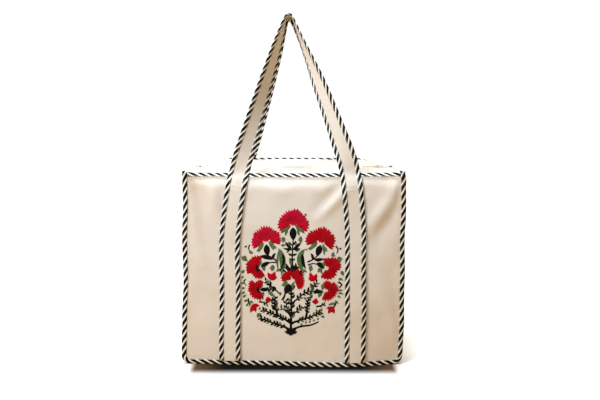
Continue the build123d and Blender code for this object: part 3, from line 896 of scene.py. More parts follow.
@dataclass
class Panels:
    """The front and rear panels."""

    sizes: BagSizes
    form: SoftForm
    finishes: Finishes
    columns: int = 150
    rows: int = 130

    def outline(self, x: float, side: Side) -> tuple[float, float]:
        """Gives a panel's lowest and highest place at a place across.

        Args:
            x: Place across the panel.
            side: Which panel.

        Returns:
            The heights of its lower and upper edge.
        """
        s = self.sizes
        end = s.half_width - s.tape
        radius = s.corner_radius - s.tape
        into = max(0.0, abs(x) - (end - radius))
        low = s.tape + radius - math.sqrt(max(0.0, radius**2 - into**2))
        return low, s.edge(side, x) - s.tape

    def build(self, side: Side) -> bpy.types.Object:
        """Makes one panel.

        Args:
            side: Which panel.

        Returns:
            The panel.
        """
        s = self.sizes
        end = s.half_width - s.tape
        draft = Draft()
        rows, coords = [], []
        for r in range(self.rows + 1):
            row, marks = [], []
            for c in range(self.columns + 1):
                x = end * math.sin(0.5 * math.pi * (2.0 * c / self.columns - 1.0) * 0.72) / math.sin(0.36 * math.pi)
                low, high = self.outline(x, side)
                z = low + (high - low) * r / self.rows
                if side is Side.FRONT:
                    point = self.form.on_front(x, z)
                else:
                    wave = 0.8 * ripple(4.4, x, z, 60.0) + 0.2 * ripple(8.1, x, z, 18.0)
                    wave *= smooth(9.0, 24.0, min(s.half_width - abs(x), z, high - z))
                    point = self.form.moved(Vector((x, s.panel_face + wave, z)))
                row.append(point)
                marks.append((x, z))
            rows.append(row)
            coords.append(marks)
        draft.grid(rows, coords, flip=side is Side.REAR)
        name = f"{side.name.lower()}_panel_canvas"
        piece = draft.build(name, self.finishes.canvas)
        thicken(piece, s.canvas)
        return seat(piece, [f"{side.name.lower()}_panel"])


@dataclass
class Boxing:
    """The gussets and the base, with their seam allowances turned out against the panels."""

    sizes: BagSizes
    form: SoftForm
    finishes: Finishes
    corner_arc: float = 2.0
    crown: float = 360.0
    step: float = 5.0

    def section(self) -> list[tuple[float, float]]:
        """Gives the strip's cross-section as pairs of Y and distance in from the outline."""
        s = self.sizes
        middle = s.half_depth - s.tape - 1.5 * s.canvas
        deep = s.tape_width + s.canvas / 2.0
        r = self.corner_arc
        half = [(middle, 1.2), (middle, 0.5 * deep), (middle, deep - r)]
        for step in range(1, 5):
            angle = 0.5 * math.pi * step / 4
            half.append((middle - r + r * math.cos(angle), deep - r + r * math.sin(angle)))
        for share in (0.9, 0.78, 0.65, 0.52, 0.4, 0.3, 0.2, 0.1):
            half.append((middle * share, deep))
        return [(-y, across) for y, across in half] + [(0.0, deep)] + half[::-1]

    def top(self, y: float, across: float) -> float:
        """Height where the strip ends, at a place on its cross-section."""
        s = self.sizes
        if across < s.tape_width - 0.5:
            return s.height - s.tape
        seam = s.height - s.tape_width - 1.5
        out = (abs(y) - s.zip_opening) / (s.binding_back - s.zip_opening)
        return seam + (self.crown - seam) * (1.0 - min(1.0, max(0.0, out)))

    def outline_point(self, along: float, across: float, top: float) -> tuple[float, float]:
        """Gives a point on the U-shaped outline.

        Args:
            along: Distance from the middle of the base, below zero to the left.
            across: Distance in from the outline.
            top: Height where the strip ends there.

        Returns:
            Its X and Z.
        """
        s = self.sizes
        flat = s.half_width - s.corner_radius
        radius = s.corner_radius - across
        arc = 0.5 * math.pi * s.corner_radius
        out = abs(along)
        if out <= flat:
            return along, across
        if out <= flat + arc:
            angle = (out - flat) / s.corner_radius
            x = flat + radius * math.sin(angle)
            return math.copysign(x, along), s.corner_radius - radius * math.cos(angle)
        full = s.height - s.corner_radius
        share = (out - flat - arc) / full
        z = s.corner_radius + (top - s.corner_radius) * share
        return math.copysign(s.half_width - across, along), z

    def build(self, name: str, start: float, end: float) -> bpy.types.Object:
        """Makes one strip.

        Args:
            name: The CAD node that it stands for.
            start: Where it starts along the outline.
            end: Where it ends.

        Returns:
            The strip.
        """
        draft = Draft()
        rows, coords = [], []
        count = max(8, int(abs(end - start) / self.step))
        for index in range(count + 1):
            along = start + (end - start) * index / count
            row, marks = [], []
            for y, across in self.section():
                x, z = self.outline_point(along, across, self.top(y, across))
                wave = 0.5 * ripple(6.6, along, y, 40.0) * (1.0 - abs(y) / self.sizes.half_depth)
                if z > across + 1.0:
                    x -= wave
                row.append(self.form.moved(Vector((x, y, z))))
                marks.append((along, y))
            rows.append(row)
            coords.append(marks)
        draft.grid(rows, coords)
        piece = draft.build(f"{name}_canvas", self.finishes.canvas)
        thicken(piece, self.sizes.canvas, 0.0)
        return seat(piece, [name])

    def build_all(self) -> None:
        """Makes both gussets and the base."""
        s = self.sizes
        flat = s.half_width - s.corner_radius
        reach = flat + 0.5 * math.pi * s.corner_radius + s.height - s.corner_radius
        self.build("left_gusset", -reach, -flat)
        self.build("base_panel", -flat, flat)
        self.build("right_gusset", flat, reach)


@dataclass
class TopPanels:
    """The two halves of the top, between the panels and the zip."""

    sizes: BagSizes
    form: SoftForm
    finishes: Finishes
    boxing: Boxing
    step: float = 5.0
    profile_steps: int = 16
    lap: float = 8.5
    swell: float = 6.0
    swell_y: float = 36.0

    def surface(self, side: Side, x: float, share: float) -> Vector:
        """Gives a point on one half of the top.

        Args:
            side: Front or rear half.
            x: Place across the bag.
            share: 0 at the seam, 1 at the zip opening.

        Returns:
            The point on its upper face.
        """
        s = self.sizes
        seam = s.edge(side, x) - s.tape_width - 0.5
        knee_y = s.zip_opening + self.lap
        lap_z = s.zip_height + 2.0
        start_y = s.binding_back - 0.8
        end_y = 0.5 * s.zip_opening
        y = start_y + (end_y - start_y) * share
        rise = smooth(0.0, 1.0, min(1.0, (start_y - y) / (start_y - knee_y)))
        z = seam + (lap_z - seam) * (0.45 * rise + 0.55 * min(1.0, (start_y - y) / (start_y - knee_y)))
        if side is Side.REAR:
            shown = 2.4 + 0.9 * ripple(6.2, x, 0.0, 30.0) - 2.6 * smooth(116.0, 150.0, abs(x))
            billow = s.edge(side, x) - shown
            near = (start_y - y) / (start_y - knee_y)
            z = along_knots(((0.0, seam), (0.16, billow), (0.42, billow - 3.0), (1.0, lap_z)), near)
        loose = math.sin(math.pi * min(1.0, (start_y - y) / (start_y - knee_y)))
        if side is Side.REAR:
            loose *= smooth(start_y - 14.0, start_y - 30.0, y)
        wave = 1.6 * ripple(2.2 if side is Side.FRONT else 5.9, x, y, 48.0)
        wave += 0.5 * ripple(7.3, x, y, 16.0)
        z += loose * (wave - 1.2)
        if side is Side.FRONT:
            swell = math.exp(-(((y - self.swell_y) / 15.0) ** 2)) * (1.0 - smooth(150.0, 184.0, abs(x)))
            z += self.swell * swell * smooth(knee_y, knee_y + 8.0, y)
        near_end = smooth(s.web - 16.0, s.web - 3.0, abs(x)) * smooth(s.zip_opening, knee_y, y)
        z += near_end * (self.boxing.top(y, s.tape_width + 2.0) + 0.6 - z)
        return self.form.moved(Vector((x, side.value * y, z)))

    def build(self, side: Side) -> bpy.types.Object:
        """Makes one half.

        Args:
            side: Front or rear half.

        Returns:
            The half.
        """
        s = self.sizes
        end = s.web - s.canvas - 0.2
        count = int(2.0 * end / self.step)
        rows, coords = [], []
        for index in range(count + 1):
            x = -end + 2.0 * end * index / count
            allowance = s.binding_back + s.tape + 0.4
            row = [
                self.form.moved(Vector((x, side.value * allowance, s.edge(side, x) - 1.6))),
                self.form.moved(Vector((x, side.value * allowance, s.edge(side, x) - 5.0))),
                self.form.moved(Vector((x, side.value * (allowance - 0.2), s.edge(side, x) - s.tape_width + 0.5))),
            ]
            marks = [(x, 90.0), (x, 86.0), (x, 82.0)]
            for step in range(self.profile_steps + 1):
                share = step / self.profile_steps
                row.append(self.surface(side, x, share))
                marks.append((x, 80.0 - 70.0 * share))
            rows.append(row)
            coords.append(marks)
        draft = Draft()
        draft.grid(rows, coords, flip=side is Side.FRONT)
        name = f"top_panel_{side.name.lower()}"
        piece = draft.build(f"{name}_canvas", self.finishes.canvas)
        thicken(piece, s.canvas)
        return seat(piece, [name])


@dataclass
class Bindings:
    """The striped tape folded over the panels' edges."""

    sizes: BagSizes
    form: SoftForm
    finishes: Finishes
    step: float = 3.0
    stripe_pitch: float = 15.5
    stripe_share: float = 0.6
    stripe_angle: float = 30.0
    seam_inset: float = 1.5
    seams: Draft = field(default_factory=Draft)

    @property
    def reach(self) -> float:
        """Distance from the tape's end to its first stripe's middle."""
        slant = self.sizes.tape_width / math.tan(math.radians(self.stripe_angle))
        return (self.stripe_pitch * self.stripe_share + slant) / 2.0

    def section(self) -> list[tuple[float, float, float]]:
        """Gives the folded tape's cross-section: distance in, Y, and distance over the fold."""
        s = self.sizes
        radius = (s.half_depth - s.binding_back) / 2.0
        middle = s.half_depth - radius
        section = []
        for share in (0.0, 0.1, 0.4, 0.7, 1.0):
            across = s.tape_width + (radius - s.tape_width) * share
            puff = 0.35 * math.sin(math.pi * share)
            section.append((across, s.half_depth + puff, s.tape_width - across))
        for step in range(1, 8):
            angle = math.pi * step / 8
            over = s.tape_width - radius + radius * angle
            section.append((radius - radius * math.sin(angle), middle + radius * math.cos(angle), over))
        start = s.tape_width - radius + radius * math.pi
        for share in (0.0, 0.5, 1.0):
            across = radius + (s.tape_width - radius) * share
            section.append((across, s.binding_back, start + across - radius))
        return section

    def side_point(self, along: float, across: float) -> tuple[float, float]:
        """Gives a point on a panel's sides and bottom.

        Args:
            along: Distance from the upper left corner, down, across and up again.
            across: Distance in from the outline.

        Returns:
            Its X and Z.
        """
        s = self.sizes
        straight = s.height - s.corner_radius
        middle = s.corner_radius - s.tape_width / 2.0
        turn = middle * math.pi / 2.0
        flat = s.half_width - s.corner_radius
        radius = s.corner_radius - across
        if along < straight:
            return -s.half_width + across, s.height - along
        if along < straight + turn:
            angle = (along - straight) / middle
            return -flat - radius * math.cos(angle), s.corner_radius - radius * math.sin(angle)
        if along < straight + turn + 2.0 * flat:
            return -flat + along - straight - turn, across
        if along < straight + 2.0 * turn + 2.0 * flat:
            angle = (along - straight - turn - 2.0 * flat) / middle
            return flat + radius * math.sin(angle), s.corner_radius - radius * math.cos(angle)
        return s.half_width - across, s.corner_radius + along - straight - 2.0 * turn - 2.0 * flat

    def sweep(
        self,
        name: str,
        side: Side,
        start: float,
        end: float,
        place: Callable[[float, float], tuple[float, float]],
        lean: float,
        stands_for: Sequence[str],
    ) -> bpy.types.Object:
        """Makes one length of folded tape.

        Args:
            name: The piece's name.
            side: Front or rear panel.
            start: Where the tape starts.
            end: Where it ends.
            place: Gives X and Z from the distance along and the distance in.
            lean: Which way its stripes slant, 1 or -1.
            stands_for: CAD nodes that it replaces.

        Returns:
            The tape.
        """
        s = self.sizes
        count = int((end - start) / self.step)
        rows, coords, seam = [], [], []
        for index in range(count + 1):
            along = start + (end - start) * index / count
            row, marks = [], []
            for across, y, over in self.section():
                x, z = place(along, across)
                wave = 0.2 * ripple(1.9 * side.value, along, over, 9.0)
                point = Vector((-side.value * x, side.value * (y + wave), z))
                row.append(self.form.moved(point))
                marks.append((along - self.reach, lean * (over - s.tape_width / 2.0)))
            rows.append(row)
            coords.append(marks)
            x, z = place(along, s.tape_width - self.seam_inset)
            seam.append(self.form.moved(Vector((-side.value * x, side.value * (s.half_depth + 0.22), z))))
        self.seams.seam(seam)
        draft = Draft()
        draft.grid(rows, coords, flip=True)
        piece = draft.build(name, self.finishes.tape)
        thicken(piece, s.tape)
        return seat(piece, stands_for)

    def build_side(self, side: Side) -> None:
        """Makes the tape of one panel's sides and bottom."""
        s = self.sizes
        word = side.name.lower()
        straight = s.height - s.corner_radius
        turn = (s.corner_radius - s.tape_width / 2.0) * math.pi
        length = 2.0 * straight + turn + 2.0 * (s.half_width - s.corner_radius)
        self.sweep(
            f"{word}_edge_tape", side, -s.corner_tip, length + s.corner_tip, self.side_point, 1.0,
            [f"{word}_edge_binding", f"{word}_edge_stripes"],
        )

    def build_top(self, side: Side) -> None:
        """Makes the tape of one panel's top edge."""
        s = self.sizes
        word = side.name.lower()

        def place(along: float, across: float) -> tuple[float, float]:
            """Gives a point on the top edge."""
            x = along - s.web
            return x, s.edge(side, x) - across

        self.sweep(
            f"{word}_top_tape", side, 0.0, 2.0 * s.web, place, -1.0,
            [f"{word}_top_binding", f"{word}_top_stripes"],
        )

    def build_all(self) -> None:
        """Makes all four lengths of tape."""
        for side in Side:
            self.build_side(side)
            self.build_top(side)
        seat(self.seams.build("binding_seams", self.finishes.cream_thread))


@dataclass(frozen=True)
class Station:
    """One place along a strap, with its directions."""

    origin: Vector
    inner: Vector
    out: Vector
    along: float


@dataclass
class Straps:
    """The two shoulder straps, sewn on the panels and drawn up to one point."""

    sizes: BagSizes
    form: SoftForm
    finishes: Finishes
    width: float = 38.0
    thickness: float = 2.8
    left_foot: float = -116.0
    right_foot: float = 114.0
    left_edge: float = -97.5
    right_edge: float = 103.5
    lean_start: float = 200.0
    drop: float = 306.0
    apex_x: float = -8.0
    apex_y: float = 10.0
    rear_insets: tuple[float, float] = (-1.0, -6.0)
    right_bow: float = 3.6
    loop_radii: tuple[float, float] = (6.4, 3.1)
    loop_drop: float = 6.5
    standoff: float = 0.5
    clearance: float = 7.5
    foot_height: float = 8.65
    sewn_steps: int = 44
    leg_steps: int = 40
    loop_steps: int = 14
    cross_seams: tuple[float, float] = (329.0, 322.0)
    seams: Draft = field(default_factory=Draft)
    left_turn: tuple[tuple[float, float], ...] = (
        (0.0, 0.0), (0.10, 14.0), (0.27, 30.0), (0.57, 48.0), (0.80, 64.0), (0.89, 74.0), (1.0, 84.0),
    )
    right_turn: tuple[tuple[float, float], ...] = (
        (0.0, 0.0), (0.10, 16.0), (0.27, 36.0), (0.57, 52.0), (0.74, 70.0), (0.84, 80.0), (1.0, 88.0),
    )

    def leg(self, side: Side, foot: float, edge: float, hand: int, radius: float) -> list[tuple[Vector, float]]:
        """Gives one leg's centre line with its share of the twist.

        Args:
            side: Front or rear strap.
            foot: Place across of its sewn end.
            edge: Place across where it leaves the bag.
            hand: -1 for the left leg, 1 for the right.
            radius: Radius of the loop at the top.

        Returns:
            Pairs of a point and a share from 0, flat on the bag, to 1, at the loop.
        """
        s = self.sizes
        strap_y = s.half_depth + self.standoff + self.thickness / 2.0
        free_z = s.edge(side, edge) + self.clearance
        loop_z = self.loop_z
        line = []
        for step in range(self.sewn_steps):
            z = self.foot_height + (free_z - self.foot_height) * step / self.sewn_steps
            rise = max(0.0, (z - self.lean_start) / (free_z - self.lean_start))
            line.append((Vector((foot + (edge - foot) * rise**2, side.value * strap_y, z)), 0.0))
        start = Vector((edge, side.value * strap_y, free_z))
        lean = math.atan2(abs(edge - self.apex_x) - radius, loop_z - free_z)
        end = Vector((
            self.apex_x + hand * radius * math.cos(lean),
            side.value * self.apex_y,
            loop_z + radius * math.sin(lean),
        ))
        for step in range(self.leg_steps + 1):
            share = step / self.leg_steps
            bow = self.right_bow * math.sin(math.pi * share**0.8) if hand > 0 else 0.0
            line.append((start + (end - start) * share + Vector((bow, 0.0, 0.0)), share))
        return line

    @property
    def loop_z(self) -> float:
        """Height of the middle of the loop at the top."""
        return self.sizes.height + self.drop - self.loop_drop - 10.4 - self.thickness / 2.0

    def stations(self, side: Side) -> list[Station]:
        """Gives the places along one strap.

        Args:
            side: Front or rear strap.

        Returns:
            Stations from the left foot over the loop to the right foot.
        """
        front = side is Side.FRONT
        insets = (0.0, 0.0) if front else self.rear_insets
        radius = self.loop_radii[0 if front else 1]
        left = self.leg(side, self.left_foot, self.left_edge + insets[0], -1, radius)
        right = self.leg(side, self.right_foot, self.right_edge - insets[1], 1, radius)
        first, last = left[-1][0], right[-1][0]
        centre = Vector((self.apex_x, side.value * self.apex_y, self.loop_z))
        start = math.atan2(first.z - centre.z, first.x - centre.x)
        end = math.atan2(last.z - centre.z, last.x - centre.x)
        loop = []
        for step in range(1, self.loop_steps):
            angle = start + (end - start) * step / self.loop_steps
            offset = Vector((math.cos(angle), 0.0, math.sin(angle))) * radius
            loop.append((centre + offset, 1.0))
        line = left + loop + right[::-1]
        points = self.eased([point for point, _ in line])
        result = []
        length = 0.0
        for index, point in enumerate(points):
            before = points[max(0, index - 1)]
            after = points[min(len(points) - 1, index + 1)]
            ahead = (after - before).normalized()
            left_half = index < len(points) / 2
            hand = 1.0 if left_half else -1.0
            turn = math.radians(straight_knots(self.left_turn if left_half else self.right_turn, line[index][1]))
            if left_half and line[index][1] >= 1.0:
                turn = math.radians(86.0)
            inner = Vector((hand * math.cos(turn), -side.value * math.sin(turn), 0.0))
            inner = (inner - ahead * inner.dot(ahead)).normalized()
            if index:
                length += (point - before).length
            out = ahead.cross(inner) * side.value
            result.append(Station(point, inner, out, length))
        return result

    def eased(self, points: list[Vector]) -> list[Vector]:
        """Rounds the bends where the legs leave the bag.

        Args:
            points: The centre line.

        Returns:
            The same line with softer bends.
        """
        for _ in range(6):
            line = [points[0]]
            for before, point, after in zip(points, points[1:], points[2:]):
                line.append(point * 0.5 + (before + after) * 0.25)
            line.append(points[-1])
            points = line
        return points

    def settled(self, point: Vector, side: Side) -> Vector:
        """Lays a point of a strap on the bag's real form."""
        if side is Side.FRONT and point.z < self.sizes.height - 6.0:
            on_bag = 1.0 - smooth(self.sizes.height - 40.0, self.sizes.height - 6.0, point.z)
            point = point - Vector((0.0, self.form.relief(point.x, point.z) * on_bag, 0.0))
        return self.form.moved(point)

    def build_canvas(self, side: Side) -> bpy.types.Object:
        """Makes a strap's folded canvas.

        Args:
            side: Front or rear strap.

        Returns:
            The canvas.
        """
        half = self.width / 2.0 - 0.8
        face = self.thickness / 2.0 - 0.55
        across = [half * share for share in (-1.0, -0.8, -0.55, -0.3, 0.0, 0.3, 0.55, 0.8, 1.0)]
        ring = [(u, face) for u in across] + [(u, -face) for u in across[::-1]]
        ring.append(ring[0])
        rows, coords = [], []
        for station in self.stations(side):
            row, marks = [], []
            over = 0.0
            previous = ring[0]
            for u, v in ring:
                over += math.hypot(u - previous[0], v - previous[1])
                previous = (u, v)
                puff = 0.25 * (1.0 - (u / half) ** 2) * math.copysign(1.0, v)
                point = station.origin + station.inner * u + station.out * (v + puff)
                row.append(self.settled(point, side))
                marks.append((station.along, over))
            rows.append(row)
            coords.append(marks)
        draft = Draft()
        draft.grid(rows, coords, flip=side is Side.REAR)
        word = side.name.lower()
        piece = draft.build(f"{word}_strap_canvas", self.finishes.canvas)
        return seat(piece, [f"{word}_strap"])

    def build_tape(self, side: Side, hand: Hand) -> bpy.types.Object:
        """Makes the striped tape of one edge of a strap.

        Args:
            side: Front or rear strap.
            hand: Inner or outer edge.

        Returns:
            The tape.
        """
        s = self.sizes
        radius = self.thickness / 2.0
        edge = self.width / 2.0
        section = []
        for share in (0.0, 0.12, 0.4, 0.7, 1.0):
            u = edge - s.tape_width + (s.tape_width - radius) * share
            puff = 0.3 * math.sin(math.pi * share)
            section.append((u, radius + puff, u - edge + s.tape_width))
        for step in range(1, 8):
            angle = math.pi * step / 8
            over = s.tape_width - radius + radius * angle
            section.append((edge - radius + radius * math.sin(angle), radius * math.cos(angle), over))
        start = s.tape_width - radius + radius * math.pi
        for share in (0.0, 0.5, 1.0):
            u = edge - radius - (s.tape_width - radius) * share
            section.append((u, -radius, start + edge - radius - u))
        bindings = Bindings(s, self.form, self.finishes)
        rows, coords = [], []
        faces: tuple[list[Vector], list[Vector]] = ([], [])
        for station in self.stations(side):
            for face, line in zip((1.0, -1.0), faces):
                u = hand.value * (edge - s.tape_width + bindings.seam_inset)
                v = face * (radius + 0.18)
                line.append(self.settled(station.origin + station.inner * u + station.out * v, side))
            row, marks = [], []
            for u, v, over in section:
                point = station.origin + station.inner * (hand.value * u) + station.out * v
                row.append(self.settled(point, side))
                lean = -side.value * hand.value * (over - s.tape_width / 2.0)
                marks.append((station.along - bindings.reach, lean))
            rows.append(row)
            coords.append(marks)
        draft = Draft()
        draft.grid(rows, coords, flip=side.value * hand.value > 0)
        self.seams.seam(faces[0])
        self.seams.seam([point for point in faces[1] if point.z > s.height - 4.0])
        word = f"{side.name.lower()}_strap_{hand.name.lower()}"
        piece = draft.build(f"{word}_tape", self.finishes.tape)
        thicken(piece, s.tape)
        return seat(piece, [f"{word}_binding", f"{word}_stripes"])

    def add_cross_seams(self, side: Side) -> None:
        """Sews each leg down with two rows across it, near the panel's top edge.

        Args:
            side: Front or rear strap.
        """
        half = self.width / 2.0 - self.sizes.tape_width
        for height in self.cross_seams:
            near: dict[float, Station] = {}
            for station in self.stations(side):
                hand = 1.0 if station.origin.x > 0 else -1.0
                if hand not in near or abs(station.origin.z - height) < abs(near[hand].origin.z - height):
                    near[hand] = station
            for station in near.values():
                line = []
                for step in range(9):
                    u = half * (step / 4.0 - 1.0)
                    v = self.thickness / 2.0 - 0.3
                    point = station.origin + station.inner * u + station.out * v
                    line.append(self.settled(point, side))
                self.seams.seam(line, 2.6, 0.7, 0.28)

    def build_all(self) -> None:
        """Makes both straps with their tapes."""
        for side in Side:
            self.build_canvas(side)
            self.add_cross_seams(side)
            for hand in Hand:
                self.build_tape(side, hand)
        seat(self.seams.build("strap_seams", self.finishes.cream_thread))


@dataclass
class Zip:
    """The zip in the top: woven tapes and nylon coils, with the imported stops, slider and pull."""

    sizes: BagSizes
    finishes: Finishes
    chain: float = 344.0
    gap: float = 0.8
    coil_width: float = 2.6
    coil_height: float = 2.4
    coil_pitch: float = 1.6
    wire: float = 0.36
    turn_steps: int = 10

    def build_coil(self, side: Side) -> bpy.types.Object:
        """Makes one half of the coil as a wound wire."""
        turns = int(self.chain / self.coil_pitch)
        path = []
        for step in range(turns * self.turn_steps + 1):
            angle = 2.0 * math.pi * step / self.turn_steps
            x = -self.chain / 2.0 + self.chain * step / (turns * self.turn_steps)
            y = self.gap + self.coil_width / 2.0 + (self.coil_width / 2.0 - self.wire) * math.cos(angle)
            z = self.sizes.zip_height + (self.coil_height / 2.0 - self.wire) * math.sin(angle)
            path.append(Vector((x, side.value * y, z)))
        draft = Draft()
        draft.tube(path, self.wire, 6)
        word = side.name.lower()
        piece = draft.build(f"zip_coil_{word}_wound", self.finishes.coil)
        return seat(piece, [f"zip_coil_{word}"])

    def build_tape(self, side: Side) -> bpy.types.Object:
        """Makes one woven tape of the zip."""
        low, high = (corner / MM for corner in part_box(f"zip_tape_{side.name.lower()}"))
        inner = min(abs(low.y), abs(high.y)) - 0.6
        outer = max(abs(low.y), abs(high.y))
        rows, coords = [], []
        count = 120
        for index in range(count + 1):
            x = low.x + (high.x - low.x) * index / count
            row, marks = [], []
            for step in range(9):
                share = step / 8
                y = inner + (outer - inner) * share
                cord = 0.35 * math.exp(-(((share - 0.08) / 0.07) ** 2))
                row.append(Vector((x, side.value * y, high.z + cord)))
                marks.append((x, y))
            rows.append(row)
            coords.append(marks)
        draft = Draft()
        draft.grid(rows, coords, flip=side is Side.FRONT)
        word = side.name.lower()
        piece = draft.build(f"zip_tape_{word}_woven", self.finishes.canvas)
        thicken(piece, high.z - low.z)
        return seat(piece, [f"zip_tape_{word}"])

    def build_all(self, nodes: dict[str, bpy.types.Object]) -> None:
        """Makes the tapes and coils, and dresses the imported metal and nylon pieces.

        Args:
            nodes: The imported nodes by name.
        """
        for side in Side:
            self.build_coil(side)
            self.build_tape(side)
        for name in ("zip_closed_stops", "zip_open_stop"):
            self.dress(nodes[name], self.finishes.coil, 0.3)
        for name in ("zip_slider", "zip_pull"):
            self.dress(nodes[name], self.finishes.enamel, 0.25)

    def dress(self, node: bpy.types.Object, finish: bpy.types.Material, edge: float) -> None:
        """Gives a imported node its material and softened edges.

        Args:
            node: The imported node.
            finish: Its material.
            edge: Width of its rounded edges.
        """
        node.data.materials.clear()
        node.data.materials.append(finish)
        bevel = node.modifiers.new("edges", "BEVEL")
        bevel.width = edge * MM
        bevel.segments = 2
        bevel.limit_method = "ANGLE"
        bevel.harden_normals = False
        log.info("%s: packed node kept", node.name)


Spot = tuple[float, float]


class Thread(Enum):
    """The threads of the embroidery."""

    CRIMSON = "crimson"
    SCARLET = "scarlet"
    PAINTED_GROOVE_SHADE = "painted_groove_shade"
    GREEN = "green"
    BLACK = "black"


Blade = tuple[Spot, Spot, Spot, float]


def smooth_line(points: Sequence[Spot], steps: int) -> list[Spot]:
    """Draws a smooth line through points.

    Args:
        points: The points to pass through.
        steps: How many pieces each stretch is divided into.

    Returns:
        The line's points.
    """
    line: list[Spot] = []
    last = len(points) - 1
    for index in range(last):
        p0, p1 = points[max(0, index - 1)], points[index]
        p2, p3 = points[index + 1], points[min(last, index + 2)]
        for step in range(steps):
            t = step / steps
            line.append(tuple(
                0.5 * (2 * b + (c - a) * t + (2 * a - 5 * b + 4 * c - d) * t**2 + (3 * b - a - 3 * c + d) * t**3)
                for a, b, c, d in zip(p0, p1, p2, p3)
            ))
    line.append(points[-1])
    return line


@dataclass(frozen=True)
class Fan:
    """One fan of a carnation: its base, the way it faces, half its spread, its radius and teeth."""

    base: Spot
    facing: float
    half: float
    radius: float
    teeth: int
    start: float = 0.12


@dataclass(frozen=True)
class Stem:
    """A feathered stem: its points, its width at the root, and the length and gap of its leaves."""

    points: tuple[Spot, ...]
    width: float
    leaf: float = 0.0
    gap: float = 5.0
    green: bool = False


